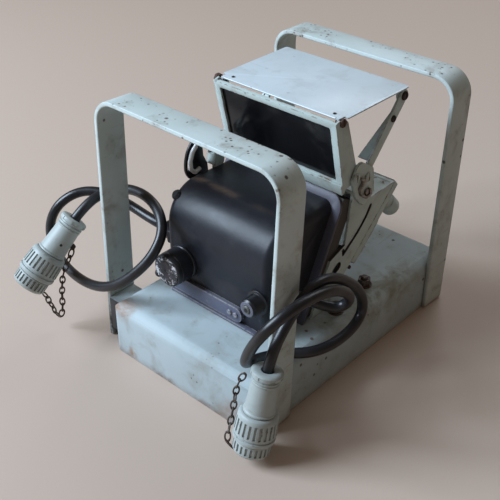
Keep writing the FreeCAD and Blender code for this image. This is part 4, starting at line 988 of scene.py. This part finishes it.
# ---- faces with a finish of their own ------------------------------------------------
def beyond(reach):
    """Faces further than `reach` from the head's middle plane, such as screw heads on a side sheet."""
    return lambda middle, normal: abs(middle.x - HEAD_X) > reach


def inner_wall(middle, normal):
    """Faces of the front frame that look in at its hollow."""
    return normal.dot(middle - Vector(FRAME_HEART)) < 0


def slot_wall(middle, normal):
    """Cut faces through the front frame's side sheets."""
    return abs(abs(middle.x - HEAD_X) - (FRAME_HALF - 1.0)) < 0.9 and abs(normal.x) < 0.4


def upward(middle, normal):
    """Top faces."""
    return normal.z > 0.6


def button_face(middle, normal):
    """The ring face round the push button."""
    return normal.y < -0.8 and middle.y < -84.0


# Each node's eased width in millimetres, and its faces with a finish of their own.
STRUT_SCREWS = ((beyond(56.85), DARK_SCREW),)
EASED = {
    "base_pan": (0.4, ()),
    "near_guard_hoop": (0.8, ()),
    "far_guard_hoop": (0.8, ()),
    "near_hoop_spacer": (0.4, ((upward, PAN_PAINT),)),
    "rim_frame": (0.4, ()),
    # The front frame's inner and slot walls take the near-black coat as painted shade.
    "front_frame": (0.3, ((inner_wall, LINING_AND_HOLLOW_SHADE), (slot_wall, LINING_AND_HOLLOW_SHADE))),
    "front_door": (0.4, ()),
    "hood_near_panel": (0.45, ()),
    "hood_top_plate": (0.3, ()),
    "left_hood_strut": (0.25, STRUT_SCREWS),
    "right_hood_strut": (0.25, STRUT_SCREWS),
    "left_hood_ear": (0.3, ()),
    "right_hood_ear": (0.3, ()),
    "foot_strip": (0.3, ()),
    "latch_bracket": (0.3, ()),
    "pane_retainer": (0.2, ()),
    "lens_bezel": (0.3, ()),
    "button_bezel": (0.3, ((button_face, STRIP_PAINT_EDGE_GLINT),)),
    "strut_clip": (0.4, ()),
    "knob_collar": (0.3, ()),
    "door_knob": (0.4, ()),
    "left_cord_gland": (0.3, ()),
    "right_cord_gland": (0.3, ()),
}


# ---- build ---------------------------------------------------------------------------
make_camera()
make_light()
make_floor()

left_lead = make_lead("left", LEFT_ROUTE, LEFT_TIP, LEFT_AIM)
right_lead = make_lead("right", RIGHT_ROUTE, RIGHT_TIP, RIGHT_AIM)
left_plug = make_plug("left", LEFT_TIP, LEFT_AIM)
right_plug = make_plug("right", RIGHT_TIP, RIGHT_AIM)
left_plug.append(set_screw("left", LEFT_TIP, LEFT_AIM))
left_plug.append(chain_lug("left", LEFT_TIP, LEFT_AIM, 20.0, -80.0))
right_plug.append(chain_lug("right", RIGHT_TIP, RIGHT_AIM, 18.0, 200.0))
left_chain = make_chain("left", LEFT_CHAIN)
right_chain = make_chain("right", RIGHT_CHAIN)

make_selector()
make_hood_rivets()
make_hinge_nut()
make_hood_edge()
make_strap()
make_button_dimple_shade()
make_shell_screw()
softened("head_shell", 0.3, reshape=fuller_shell)
for name, (width, spots) in EASED.items():
    softened(name, width, spots)
